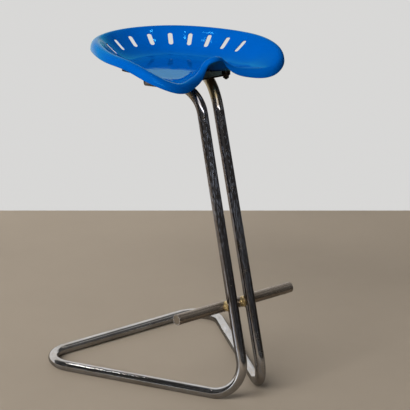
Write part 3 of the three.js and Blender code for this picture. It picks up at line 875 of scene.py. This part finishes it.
def seat_pan_mesh(sizes, centre):
    """Both skins of the pan with its rolled edge and its rounded slots, as points and faces."""
    surface = PanSurface(sizes, centre)
    rows, window_first = pan_rows()
    window_last = window_first + WINDOW_ROWS
    columns, half = pan_columns(surface, sizes.slot_pitch, sizes.slots)
    width, sheet, bead = len(columns), sizes.sheet, sizes.sheet / 2
    flange_length = sizes.flange_drop * 1.25
    rows[-1] = 3 - bead / flange_length
    upper, normal, up = surface.frame(surface.t_at(columns)[None, :], rows[:, None])
    hems = [upper[-1] - normal[-1] * bead + bead * (math.cos(angle) * normal[-1] + math.sin(angle) * up[-1])
            for angle in (math.pi * step / 6 for step in range(1, 6))]
    grid = np.concatenate((upper, np.array(hems), (upper - normal * sheet)[::-1]))
    last_row = len(grid) - 1
    parts = [grid.reshape(-1, 3)]

    def vertex(row, column):
        return row * width + column % width

    def number(ring):
        """Takes in a ring of points and gives their numbers."""
        first = sum(len(part) for part in parts)
        parts.append(ring)
        return range(first, first + len(ring))

    middles = [half + PITCH_COLUMNS * k for k in range(-(sizes.slots // 2), sizes.slots // 2 + 1)]
    in_window = np.zeros((last_row, width), bool)
    for middle in middles:
        reached = np.arange(middle - HALF_WINDOW, middle + HALF_WINDOW) % width
        in_window[window_first:window_last, reached] = True
        in_window[last_row - window_last:last_row - window_first, reached] = True
    faces = [(vertex(row, column), vertex(row, column + 1),
              vertex(row + 1, column + 1), vertex(row + 1, column))
             for row in range(last_row) for column in range(width) if not in_window[row, column]]
    top_pole, low_pole = number(surface.centre + np.array([[0.0, 0.0, 0.0], [0.0, 0.0, -sheet]]))
    for column in range(width):
        faces.append((top_pole, vertex(0, column + 1), vertex(0, column)))
        faces.append((low_pole, vertex(last_row, column), vertex(last_row, column + 1)))

    outline, outward = slot_outline(sizes.slot_width, sizes.slot_length, WINDOW_ROWS, 2 * HALF_WINDOW)
    profile = [(SLOT_LIP * (1 - math.sin(turn)), SLOT_LIP * (1 - math.cos(turn)))
               for turn in (math.radians(angle) for angle in (0, 30, 60, 90))]
    profile += [(aside, sheet - depth) for aside, depth in reversed(profile)]
    for middle in middles:
        run = columns[middle]
        near = 0.01
        low, high = (surface.wall(surface.t_at(run), SLOT_RISE + aside) for aside in (-near, near))
        climb = np.linalg.norm(high - low) / (2 * near)

        def skin(aside):
            """The slot's outline moved outwards, as places round the wall and up it."""
            offsets = outline + outward * aside
            rise = SLOT_RISE + offsets[:, 1] / climb
            return np.stack((run + offsets[:, 0] * surface.reach(SLOT_RISE) / surface.reach(rise), rise))

        left, right = middle - HALF_WINDOW, middle + HALF_WINDOW
        border = [(window_first, column) for column in range(left, right)]
        border += [(row, right) for row in range(window_first, window_last)]
        border += [(window_last, column) for column in range(right, left, -1)]
        border += [(row, left) for row in range(window_last, window_first, -1)]
        edge = np.array([(run + (column - middle) * sizes.slot_pitch / PITCH_COLUMNS, rows[row] - 1)
                         for row, column in border]).T
        between = [edge + (skin(SLOT_LIP) - edge) * share for share in (0.35, 0.65, 0.86)]
        rings = [(place, 0.0) for place in between] + [(skin(aside), depth) for aside, depth in profile]
        loops = [[vertex(row, column) for row, column in border]]
        for (around, rise), depth in rings + [(place, sheet) for place in reversed(between)]:
            ring, ring_normal, _ = surface.frame(surface.t_at(around), 1 + rise)
            loops.append(number(ring - ring_normal * depth))
        loops.append([vertex(last_row - row, column) for row, column in border])
        faces += bands(loops)

    used = sorted({index for face in faces for index in face})
    renumber = {index: place for place, index in enumerate(used)}
    return np.concatenate(parts)[used], [tuple(renumber[index] for index in face) for face in faces]


# Small parts, each turned or drawn about Z

def thread_template(radius, depth, pitch, rod):
    """Threaded rod, thinner over the last pitch at both ends."""
    facets, per_pitch = 24, 6
    rows = int(rod / pitch * per_pitch)
    layers = [(0, 0.0)]
    for height in (rod * row / rows for row in range(rows + 1)):
        taper = min(1.0, 0.72 + 0.28 * min(height, rod - height) / pitch)
        phase = (height / pitch - np.arange(facets) / facets) % 1.0
        layers.append(((radius - depth * (1 - abs(2 * phase - 1))) * taper, height))
    return turned(layers + [(0, rod)], facets)


def nut_template(flats, bore, height):
    """Hexagon with chamfered corners: the chamfer's edge is where a cone meets the six sides."""
    facets = 60
    angles = np.arange(facets) / facets * math.tau
    sides = flats / 2 / np.cos((angles + math.pi / 6) % (math.pi / 3) - math.pi / 6)
    face = flats / 2 * 0.96
    drops = (sides - face) * math.tan(math.radians(30))
    mouth = bore + 0.0005
    return turned([(bore, LIP), (bore, height - LIP), (mouth, height), (face, height),
                   (sides, height - drops), (sides, drops), (face, 0.0), (mouth, 0.0)], facets)


def rounded_ring(outer, inner, height, edge):
    """Washer or spacer with eased edges."""
    soft = edge * 0.3
    return turned([(inner, edge), (inner + edge, 0.0), (outer - edge, 0.0), (outer - soft, soft),
                   (outer, edge), (outer, height - edge), (outer - soft, height - soft),
                   (outer - edge, height), (inner + edge, height), (inner, height - edge)])


def plug_template(head, thickness, stem, depth):
    """Low domed head over the tube's end, with a ribbed stem in its bore."""
    dome = [(head * math.sin(a), thickness * (0.55 + 0.45 * math.cos(a)))
            for a in (math.radians(step * 9) for step in range(1, 10))]
    ribs = []
    for low in (-0.0015 - rib * (depth - 0.003) / 4 for rib in range(4)):
        ribs += [(stem, low), (stem * 0.9, low - 0.001)]
    return turned([(0, thickness), *dome, (head, LIP), (head - 0.0004, 0.0), (stem * 0.9, 0.0), *ribs,
                   (stem * 0.8, -depth), (0, -depth)])


def disc_template(radius, thickness):
    """Flat disc with an eased edge, faced in faint steps."""
    steps = [(radius * share, thickness - 0.00006 * (i % 2))
             for i, share in enumerate((0.12, 0.26, 0.4, 0.54, 0.68, 0.82))]
    soft, edge = 0.0001, 0.0004
    return turned([(0, thickness), *steps, (radius - edge, thickness), (radius - soft, thickness - soft),
                   (radius, thickness - edge), (radius, 0.0), (0, 0.0)])


# Seat plate

def rounded_outline(corners, radius, steps):
    points = []
    for before, corner, after in zip(corners[-1:] + corners, corners, corners[1:] + corners):
        start = corner + (before - corner).normalized() * radius
        end = corner + (after - corner).normalized() * radius
        for s in (step / steps for step in range(steps + 1)):
            points.append(start * (1 - s) ** 2 + corner * 2 * s * (1 - s) + end * s ** 2)
    return points


def inset_loop(loop, distance):
    """The loop moved to its left by distance, which is inwards where it runs counter-clockwise."""
    moved = []
    for before, point, after in zip(loop[-1:] + loop, loop, loop[1:] + loop):
        run = (after - before).normalized()
        moved.append((point.x - run.y * distance, point.y + run.x * distance))
    return moved


def plate_template(outline, holes, low, high, edge):
    """Plate with eased edges: side walls loop by loop, and flat faces filled between the loops."""
    soft = edge * 0.3
    levels = [(edge, low), (soft, low + soft), (0.0, low + edge), (0.0, high - edge), (soft, high - soft),
              (edge, high)]
    points, faces, rims, flat = [], [], [], []
    for loop in [outline] + holes:
        rings = []
        for inset, height in levels:
            rings.append(range(len(points), len(points) + len(loop)))
            points += [Vector((*spot, height)) for spot in inset_loop(loop, inset)]
        faces += bands(rings)
        rims.append((rings[0], rings[-1]))
    for end in (0, 1):
        loops = [rim[end] for rim in rims]
        order = [index for loop in loops for index in loop]
        for triangle in tessellate_polygon([[points[index] for index in loop] for loop in loops]):
            corners = [order[index] for index in triangle]
            a, b, c = (points[index] for index in corners)
            upward = (b - a).cross(c - a).z > 0
            flat.append(len(faces))
            faces.append(corners if upward == bool(end) else corners[::-1])
    return points, faces, flat


# Brazed joints

def line_distance(points, start, end):
    direction = unit(end - start)
    offset = points - start
    return np.linalg.norm(offset - (offset @ direction)[:, None] * direction, axis=1)


def braze_lump(name, centre, upright, upright_radius, bar, bar_radius, reach, seed, material):
    """Filler metal: the smooth union of tube and bar, thickest at the joint and running out at its reach."""
    ball = bmesh.new()
    bmesh.ops.create_icosphere(ball, subdivisions=5, radius=1.0)
    directions = np.array([tuple(vert.co.normalized()) for vert in ball.verts])
    count, centre = len(directions), np.array(centre)
    wobble = np.array([noise.noise(Vector(d) * 1.7 + Vector((seed, 0, 0))) for d in directions])
    ripple = np.array([noise.noise(Vector(d) * 5.0 + Vector((0, seed, 0))) for d in directions])

    def outside(distance):
        """Over 0 where a point at this distance along its direction lies outside the filler."""
        points = centre + directions * distance[:, None]
        to_tube = line_distance(points, *upright) - upright_radius
        to_bar = line_distance(points, *bar) - bar_radius
        blend = reach * 0.75
        mix = np.clip(0.5 + 0.5 * (to_bar - to_tube) / blend, 0, 1)
        union = to_bar * (1 - mix) + to_tube * mix - blend * mix * (1 - mix)
        fade = 1 - (distance / (reach * (1 + 0.16 * wobble))) ** 3
        return union - FILLER * fade - FILLER_RIPPLE * ripple * np.clip(fade, 0, 1)

    low = np.zeros(count)
    found = np.full(count, reach * 1.02)
    open_ray = np.ones(count, bool)
    for distance in np.linspace(reach * 0.03, reach * 1.02, 90):
        hit = open_ray & (outside(np.full(count, distance)) > 0)
        found[hit] = distance
        low[hit] = distance - reach * 0.012
        open_ray &= ~hit
    for _ in range(14):
        middle = (low + found) / 2
        beyond = outside(middle) > 0
        found = np.where(beyond & ~open_ray, middle, found)
        low = np.where(beyond | open_ray, low, middle)
    for vert, direction, distance in zip(ball.verts, directions, found):
        vert.co = Vector(centre + direction * distance)
    mesh = bpy.data.meshes.new(name)
    ball.to_mesh(mesh)
    ball.free()
    mesh.materials.append(material)
    clean(mesh)
    soften(mesh)
    return new_object(name, mesh)


# Operators

class STOOL_OT_seat_pan(bpy.types.Operator):
    """Press the enamelled seat pan with its slots and rolled flange"""
    bl_idname = "stool.seat_pan"
    bl_label = "Seat pan"

    def execute(self, context):
        sizes = context.scene.stool_seat
        points, faces = seat_pan_mesh(sizes, places()["seat"])
        pan = mesh_piece("pressed_pan", points, faces, seat_enamel(sizes.enamel, sizes.shine), sharp=70)
        settle(pan, ["seat_pan"])
        return {"FINISHED"}


class STOOL_OT_frame_tube(bpy.types.Operator):
    """Bend the frame tube from one length: legs, uprights and triangular base"""
    bl_idname = "stool.frame_tube"
    bl_label = "Frame tube"

    def execute(self, context):
        sizes = context.scene.stool_frame
        at = places()
        knee = at["knee"]
        half = [at["leg_end"], knee, at["foot"], at["corner"]]
        points = [mirrored(point) for point in half] + half[::-1]
        bends = [0.0, sizes.knee_bend, sizes.foot_bend, sizes.corner_bend]
        # Places that welding and brazing heated, and how far the tint reaches
        heated = [((KNEE_HALF_SPACING, knee.y + 0.012, knee.z + 0.004), 0.062),
                  ((-KNEE_HALF_SPACING, knee.y + 0.03, knee.z + 0.008), 0.05)]
        heated += [(tuple(centre_of(f"braze_{side}")), 0.022) for side, _ in SIDES]
        chrome = aged_chrome("frame_chrome", sizes.chrome, sizes.aged_chrome, sizes.patina, heated, dull=0.12)
        tube = tube_piece("bent_frame_tube", points, bends + bends[::-1], sizes.tube, sizes.bore, chrome)
        settle(tube, ["frame_tube"])
        return {"FINISHED"}


class STOOL_OT_leg_plugs(bpy.types.Operator):
    """Push a domed plug into each open end of the frame tube"""
    bl_idname = "stool.leg_plugs"
    bl_label = "Leg plugs"

    def execute(self, context):
        sizes = context.scene.stool_frame
        at = places()
        outward = (at["leg_end"] - at["knee"]).normalized()
        spot = at["leg_end"] + outward * PLAY
        shape = plug_template(head=sizes.tube, thickness=0.0024, stem=sizes.bore - PLAY, depth=0.014)
        plugs = set_at_places("tube_end_plugs", shape, [spot, mirrored(spot)], [outward, mirrored(outward)],
                              moulded_black(sizes.plug))
        settle(plugs, ["leg_plug_left", "leg_plug_right"])
        return {"FINISHED"}


class STOOL_OT_footrest(bpy.types.Operator):
    """Cut the footrest bar and close its ends with flat discs"""
    bl_idname = "stool.footrest"
    bl_label = "Footrest bar"

    def execute(self, context):
        sizes = context.scene.stool_frame
        middle = centre_of("footrest_bar")
        half = Vector((sizes.bar_length / 2, 0, 0))
        heated = [(tuple(centre_of(f"braze_{side}")), 0.019) for side, _ in SIDES]
        tone = sizes.bar_chrome
        chrome = aged_chrome("bar_chrome", tone, tone, sizes.patina, heated, dull=0.34, metal=0.85,
                             spots=0.06)
        bar = tube_piece("straight_footrest_bar", [middle - half, middle, middle + half], [0.0] * 3,
                         sizes.bar - HAIR, sizes.bar_bore, chrome)
        settle(bar, ["footrest_bar"])
        steel = bar_end_steel(sizes.cap)
        for side, hand in SIDES:
            spot = middle + half * hand - Vector((hand * (CAP_THICKNESS + GAP), 0, 0))
            shape = disc_template(sizes.bar_bore - HAIR, CAP_THICKNESS)
            cap = set_at_places(f"bar_end_{side}", shape, [spot], [(hand, 0, 0)], steel)
            settle(cap, [f"footrest_cap_{side}"])
        return {"FINISHED"}


class STOOL_OT_braze(bpy.types.Operator):
    """Run brazing filler round the bar where it meets each upright"""
    bl_idname = "stool.braze"
    bl_label = "Brazed joints"

    def execute(self, context):
        sizes = context.scene.stool_frame
        at = places()
        brass = brazing_brass(sizes.brass)
        middle = centre_of("footrest_bar")
        half = Vector((sizes.bar_length / 2, 0, 0))
        bar = (np.array(middle - half), np.array(middle + half))
        for (side, hand), reach, seed in zip(SIDES, (0.0145, 0.0165), (3.0, 8.0)):
            foot, knee = at["foot"].copy(), at["knee"].copy()
            foot.x *= hand
            knee.x *= hand
            axis = foot.lerp(knee, (middle.z - foot.z) / (knee.z - foot.z))
            lean = (knee - foot).normalized()
            toward = Vector((0, lean.z, -lean.y)).normalized()
            joint = Vector((axis.x, middle.y, middle.z)) - toward * sizes.bar
            lump = braze_lump(f"braze_lump_{side}", joint, (np.array(foot), np.array(knee)), sizes.tube, bar,
                              sizes.bar, reach, seed, brass)
            settle(lump, [f"braze_{side}"])
        return {"FINISHED"}


class STOOL_OT_seat_plate(bpy.types.Operator):
    """Cut the tapered plate and weld it to both legs"""
    bl_idname = "stool.seat_plate"
    bl_label = "Seat plate and welds"

    def execute(self, context):
        sizes = context.scene.stool_plate
        at = places()
        low, high = at["plate_low"], at["plate_high"]
        corners = [(-PLATE_HALF_FRONT, low.y), (PLATE_HALF_FRONT, low.y), (high.x, high.y), (low.x, high.y)]
        outline = rounded_outline([Vector(corner) for corner in corners], sizes.corner, 10)
        turns = [-step / HOLE_STEPS * math.tau for step in range(HOLE_STEPS)]
        holes = [[centre_of(f"stud_{corner}").xy + Vector((math.cos(turn), math.sin(turn))) * HOLE_RADIUS
                  for turn in turns] for corner in CORNERS]
        enamel = plate_enamel(sizes.enamel)
        points, faces, flat = plate_template(outline, holes, low.z, high.z, sizes.edge)
        plate = mesh_piece("tapered_seat_plate", points, faces, enamel, flat_faces=flat)
        settle(plate, ["seat_plate"])
        for side, hand in SIDES:
            half = (at["leg_end"] - at["knee"]).normalized() * WELD_HALF_LENGTH
            half.x *= hand
            for place, face in enumerate(("outer", "inner")):
                node = f"plate_weld_{side}_{face}"
                spot = centre_of(node)
                spot.z = low.z - WELD_DROP
                bead = line_object(f"weld_bead_{side}_{face}", [spot - half, spot + half])
                run_tree(bead, "weld_bead", Radius=sizes.weld, Ripples=sizes.ripples,
                         Seed=1 + place + int(hand) * 2, Material=enamel)
                clean(bead.data)
                soften(bead.data, sharp=75)
                settle(bead, [node])
        return {"FINISHED"}


class STOOL_OT_fasteners(bpy.types.Operator):
    """Set a stud, a spacer, a washer and a nut at each corner of the plate"""
    bl_idname = "stool.fasteners"
    bl_label = "Studs and nuts"

    def execute(self, context):
        sizes = context.scene.stool_plate
        zinc = bright_zinc(sizes.zinc)
        boxes = {kind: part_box(f"{kind}_front_left") for kind in ("stud", "spacer", "washer", "nut")}
        tall = {kind: high[2] - low[2] for kind, (low, high) in boxes.items()}
        shapes = {
            "stud": ("threaded_studs", thread_template(STUD_RADIUS, THREAD_DEPTH, sizes.pitch, tall["stud"])),
            "spacer": ("round_spacers", rounded_ring(SPACER_RADIUS, RING_BORE, tall["spacer"], edge=0.0004)),
            "washer": ("plain_washers", rounded_ring(WASHER_RADIUS, RING_BORE, tall["washer"], edge=0.00035)),
            "nut": ("hex_nuts", nut_template(NUT_FLATS, NUT_BORE, tall["nut"])),
        }
        sharp_from = {"stud": 60, "spacer": 50, "washer": 50, "nut": 25}
        for seed, (kind, (name, shape)) in enumerate(shapes.items(), 5):
            nodes = [f"{kind}_{corner}" for corner in CORNERS]
            spots = [(*centre_of(node).xy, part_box(node)[0][2]) for node in nodes]
            made = set_at_places(name, shape, spots, [(0, 0, 1)] * len(spots), zinc,
                                 turn=math.tau if kind == "nut" else 0.0, seed=seed, sharp=sharp_from[kind])
            settle(made, nodes)
        return {"FINISHED"}


# Stage

# Brightness of the surroundings from behind the camera (0) to the wall side (1)
SKY_TONES = ((0.0, 0.11), (0.1, 0.09), (0.19, 0.03), (0.4, 0.022), (0.53, 0.03), (0.63, 0.05), (0.70, 0.10),
             (0.76, 0.42), (0.83, 0.60), (0.93, 0.72), (1.0, 0.78))
# Name, bearing from the wall side, elevation, distance, size, share of the power
LAMPS = (
    ("main_lamp", -150.0, 38.0, 9.0, (6.6, 4.8), 1.0),
    ("left_lamp", -122.0, 18.0, 5.0, (2.4, 1.8), 0.1),
    ("overhead_lamp", 10.0, 80.0, 2.9, (2.6, 2.6), 0.009),
)
LAMP_AIM = Vector((0, 0, 0.45))
# Directions along and across the painted glowing strip of floor that the uprights show in gloss
STRIP = (Vector((-0.988, 0.152, 0.0)), Vector((0.152, 0.988, 0.0)))
# Small bright places of the room, which gloss shows: bearing, elevation, half width, half height, brightness
WINDOWS = (
    (176.0, 19.5, 0.340, 0.058, 5.0),
    (176.0, 44.0, 0.220, 0.330, 2.0),
    (155.0, 16.5, 0.130, 0.040, 6.0),
    (76.0, 44.0, 0.240, 0.100, 0.26),
    (76.0, 78.0, 0.020, 0.020, 45.0),
    (-98.0, 68.0, 0.016, 0.012, 30.0),
    (-86.0, 60.0, 0.014, 0.012, 30.0),
)
FLOOR_REACH = 16.0
WALL_REACH = 9


def plain_material(name, tone, rough):
    """A plain material, its shader's output and the place on the object."""
    material, shader, place = new_material(name, Metallic=0.0, Roughness=rough)
    feed(shader, Base_Color=effect("uneven_tone", place, Colour=opaque(tone), Other_Colour=opaque(tone, 0.94),
                                   Scale=1.5, Amount=1.0))
    return material, shader.outputs[0], place


def stage_axes(sizes):
    """Level directions ahead of the camera and to its right."""
    ahead = Vector((-math.sin(sizes.camera_turn), math.cos(sizes.camera_turn), 0))
    return ahead, Vector((ahead.y, -ahead.x, 0))


def direction(sizes, bearing, rise):
    """Direction at a bearing from ahead of the camera and an elevation, in degrees."""
    ahead, side = stage_axes(sizes)
    turn, lift = math.radians(bearing), math.radians(rise)
    toward = (ahead * math.cos(turn) + side * math.sin(turn)) * math.cos(lift)
    toward.z = math.sin(lift)
    return toward


def fill_ramp(ramp, tones):
    """Sets a colour ramp to grey steps of (position, brightness)."""
    while len(ramp.elements) > 1:
        ramp.elements.remove(ramp.elements[-1])
    for i, (spot, tone) in enumerate(tones):
        step = ramp.elements[0] if i == 0 else ramp.elements.new(spot)
        step.position = spot
        step.color = (tone, tone, tone, 1.0)


def window(place, sizes, bearing, rise, half_width, half_height, brightness):
    """Brightness of one soft-edged bright place, seen in direction place."""
    toward = direction(sizes, bearing, rise)
    level = Vector((toward.y, -toward.x, 0)).normalized()
    mask = spread(dot(place, toward), 0.0, 0.1, 0.0, brightness)
    for axis, half in ((level, half_width), (level.cross(toward), half_height)):
        mask = times(mask, spread(positive(dot(place, axis)), half * 0.8, half * 1.2, 1.0, 0.0))
    return mask


class STOOL_OT_stage(bpy.types.Operator):
    """Lay the floor, stand the wall, hang the lamps and set the camera"""
    bl_idname = "stool.stage"
    bl_label = "Floor, wall, lamps and camera"

    def execute(self, context):
        sizes = context.scene.stool_stage
        self.floor(sizes)
        self.wall(sizes)
        self.world(context.scene, sizes)
        self.lamps(sizes)
        self.camera(context.scene, sizes)
        return {"FINISHED"}

    def floor(self, sizes):
        """Plain for the camera; in gloss only, painted shade near by, darker far off and to the right, and a
        painted glowing strip on the left.
        """
        material, own, place = plain_material("plain_floor", sizes.floor, 0.75)
        tree = material.node_tree
        away = measure("LENGTH", place)
        right = dot(place, stage_axes(sizes)[1])
        dark = larger(spread(away, 1.5, 3.5, 0.0, 0.85), spread(right, 0.1, 0.9, 0.0, 0.9))
        # Painted shade: the floor close to the stool is dark in gloss.
        dark = larger(dark, spread(away, 0.3, 0.8, 0.6, 0.0))
        glossy = put(tree, "ShaderNodeLightPath").outputs["Is Glossy Ray"]
        dim = wire(tree, "ShaderNodeBsdfDiffuse", Color=(0.004, 0.004, 0.004, 1))
        # Painted glow: a strip of floor that shines only for gloss rays, seen in the uprights.
        along, across = (dot(place, axis) for axis in STRIP)
        strip = times(spread(positive(plus(across, 0.2)), 0.08, 0.18, 1.0, 0.0), spread(along, 0.35, 0.6))
        strip = times(strip, spread(along, 1.3, 2.0, 1.0, 0.0))
        bright = wire(tree, "ShaderNodeEmission", Color=(0.9, 0.95, 1.0, 1), Strength=1.4)
        cover(material, mix_shader(times(strip, glossy), mix_shader(times(dark, glossy), own, dim), bright))
        points = [(FLOOR_REACH * x, FLOOR_REACH * y, 0) for x, y in ((-1, -1), (1, -1), (1, 1), (-1, 1))]
        floor = mesh_piece("stage_floor", points, [(0, 1, 2, 3)], material)

    def wall(self, sizes):
        """Stands square to the camera; its back lets the camera through for views from behind."""
        material, own, place = plain_material("plain_wall", sizes.wall, 0.85)
        tree = material.node_tree
        ahead, side = stage_axes(sizes)
        rays = put(tree, "ShaderNodeLightPath").outputs
        looked_at = larger(rays["Is Camera Ray"], rays["Is Glossy Ray"])
        dim = times(spread(dot(place, side), 0.2, 0.8, 0.0, 0.92), rays["Is Glossy Ray"])
        pale = wire(tree, "ShaderNodeEmission", Color=opaque(sizes.wall, 0.86), Strength=minus(1.0, dim))
        clear = wire(tree, "ShaderNodeBsdfTransparent")
        behind = put(tree, "ShaderNodeNewGeometry").outputs["Backfacing"]
        cover(material, mix_shader(behind, mix_shader(looked_at, own, pale), clear))
        camera = sizes.camera_place
        foot = Vector((camera[0], camera[1], 0)) + ahead * sizes.wall_distance
        top = Vector((0, 0, sizes.wall_height))
        left, right = foot - side * WALL_REACH, foot + side * WALL_REACH
        wall = mesh_piece("stage_wall", [left, right, right + top, left + top], [(0, 1, 2, 3)], material)

    def world(self, scene, sizes):
        """Pale all round for the camera; as light bright towards the wall and dark behind the camera."""
        scene.world = world = bpy.data.worlds.new("soft_studio")
        world.use_nodes = True
        tree = world.node_tree
        tree.nodes.clear()
        ahead, side = stage_axes(sizes)
        place = put(tree, "ShaderNodeTexCoord").outputs["Generated"]
        dome = put(tree, "ShaderNodeValToRGB", plus(times(dot(place, ahead), 0.5), 0.5))
        fill_ramp(dome.color_ramp, SKY_TONES)
        right = dot(place, side)
        low = times(spread(right, 0.1, 0.5, 0.0, 0.9), spread(height_of(place), 0.55, 0.7, 1.0, 0.0))
        dimmed = mix_colour(low, dome.outputs[0], (0.0, 0.0, 0.0, 1))
        light = mix_colour(1.0, dimmed, spread(right, 0.1, 0.8, 0.0, 0.06), "ADD")
        for values in WINDOWS:
            light = mix_colour(1.0, light, window(place, sizes, *values), "ADD")
        rays = put(tree, "ShaderNodeLightPath").outputs
        strength = spread(rays["Is Glossy Ray"], 0.0, 1.0, sizes.sky * 0.2, sizes.sky)
        lit = wire(tree, "ShaderNodeBackground", light, strength)
        seen = wire(tree, "ShaderNodeBackground", opaque(sizes.wall, 0.85), 1.0)
        put(tree, "ShaderNodeOutputWorld", mix_shader(rays["Is Camera Ray"], lit, seen))

    def lamps(self, sizes):
        """Each lamp stands at a bearing from the wall side, an elevation and a distance from its aim."""
        for name, bearing, rise, away, size, power in LAMPS:
            lamp = bpy.data.lights.new(name, "AREA")
            lamp.shape = "RECTANGLE"
            lamp.size, lamp.size_y = size
            lamp.energy = power * sizes.key
            toward = direction(sizes, bearing, rise)
            made = new_object(name, lamp)
            made.location = LAMP_AIM + toward * away
            made.rotation_euler = toward.to_track_quat("Z", "Y").to_euler()
            made.visible_glossy = False

    def camera(self, scene, sizes):
        lens = bpy.data.cameras.new("photo_camera")
        lens.sensor_width = 36.0
        lens.lens = sizes.lens
        lens.clip_start, lens.clip_end = 0.05, 60.0
        scene.camera = camera = new_object("photo_camera", lens)
        camera.location = sizes.camera_place
        camera.rotation_euler = (math.pi / 2 - sizes.camera_dip, 0.0, sizes.camera_turn)
        scene.view_settings.view_transform = "Standard"


OPERATORS = (STOOL_OT_seat_pan, STOOL_OT_frame_tube, STOOL_OT_leg_plugs, STOOL_OT_footrest, STOOL_OT_braze,
             STOOL_OT_seat_plate, STOOL_OT_fasteners, STOOL_OT_stage)
SETTINGS = {"stool_seat": StoolSeatSettings, "stool_frame": StoolFrameSettings,
            "stool_plate": StoolPlateSettings, "stool_stage": StoolStageSettings}


class STOOL_PT_panel(bpy.types.Panel):
    """Lists the stool's pieces and their settings"""
    bl_label = "Tractor seat stool"
    bl_idname = "STOOL_PT_panel"
    bl_space_type = "VIEW_3D"
    bl_region_type = "UI"
    bl_category = "Stool"

    def draw(self, context):
        for operator in OPERATORS:
            self.layout.operator(operator.bl_idname, text=operator.bl_label)
        for name in SETTINGS:
            settings = getattr(context.scene, name)
            box = self.layout.box()
            for key in settings.__annotations__:
                box.prop(settings, key)


CLASSES = (*SETTINGS.values(), *OPERATORS, STOOL_PT_panel)


def register():
    for entry in CLASSES:
        bpy.utils.register_class(entry)
    for name, settings in SETTINGS.items():
        setattr(bpy.types.Scene, name, PointerProperty(type=settings))


def unregister():
    for name in SETTINGS:
        delattr(bpy.types.Scene, name)
    for entry in reversed(CLASSES):
        bpy.utils.unregister_class(entry)


def main():
    register()
    bpy.ops.stool.seat_pan()
    bpy.ops.stool.frame_tube()
    bpy.ops.stool.leg_plugs()
    bpy.ops.stool.footrest()
    bpy.ops.stool.braze()
    bpy.ops.stool.seat_plate()
    bpy.ops.stool.fasteners()
    bpy.ops.stool.stage()


if __name__ == "__main__":
    main()
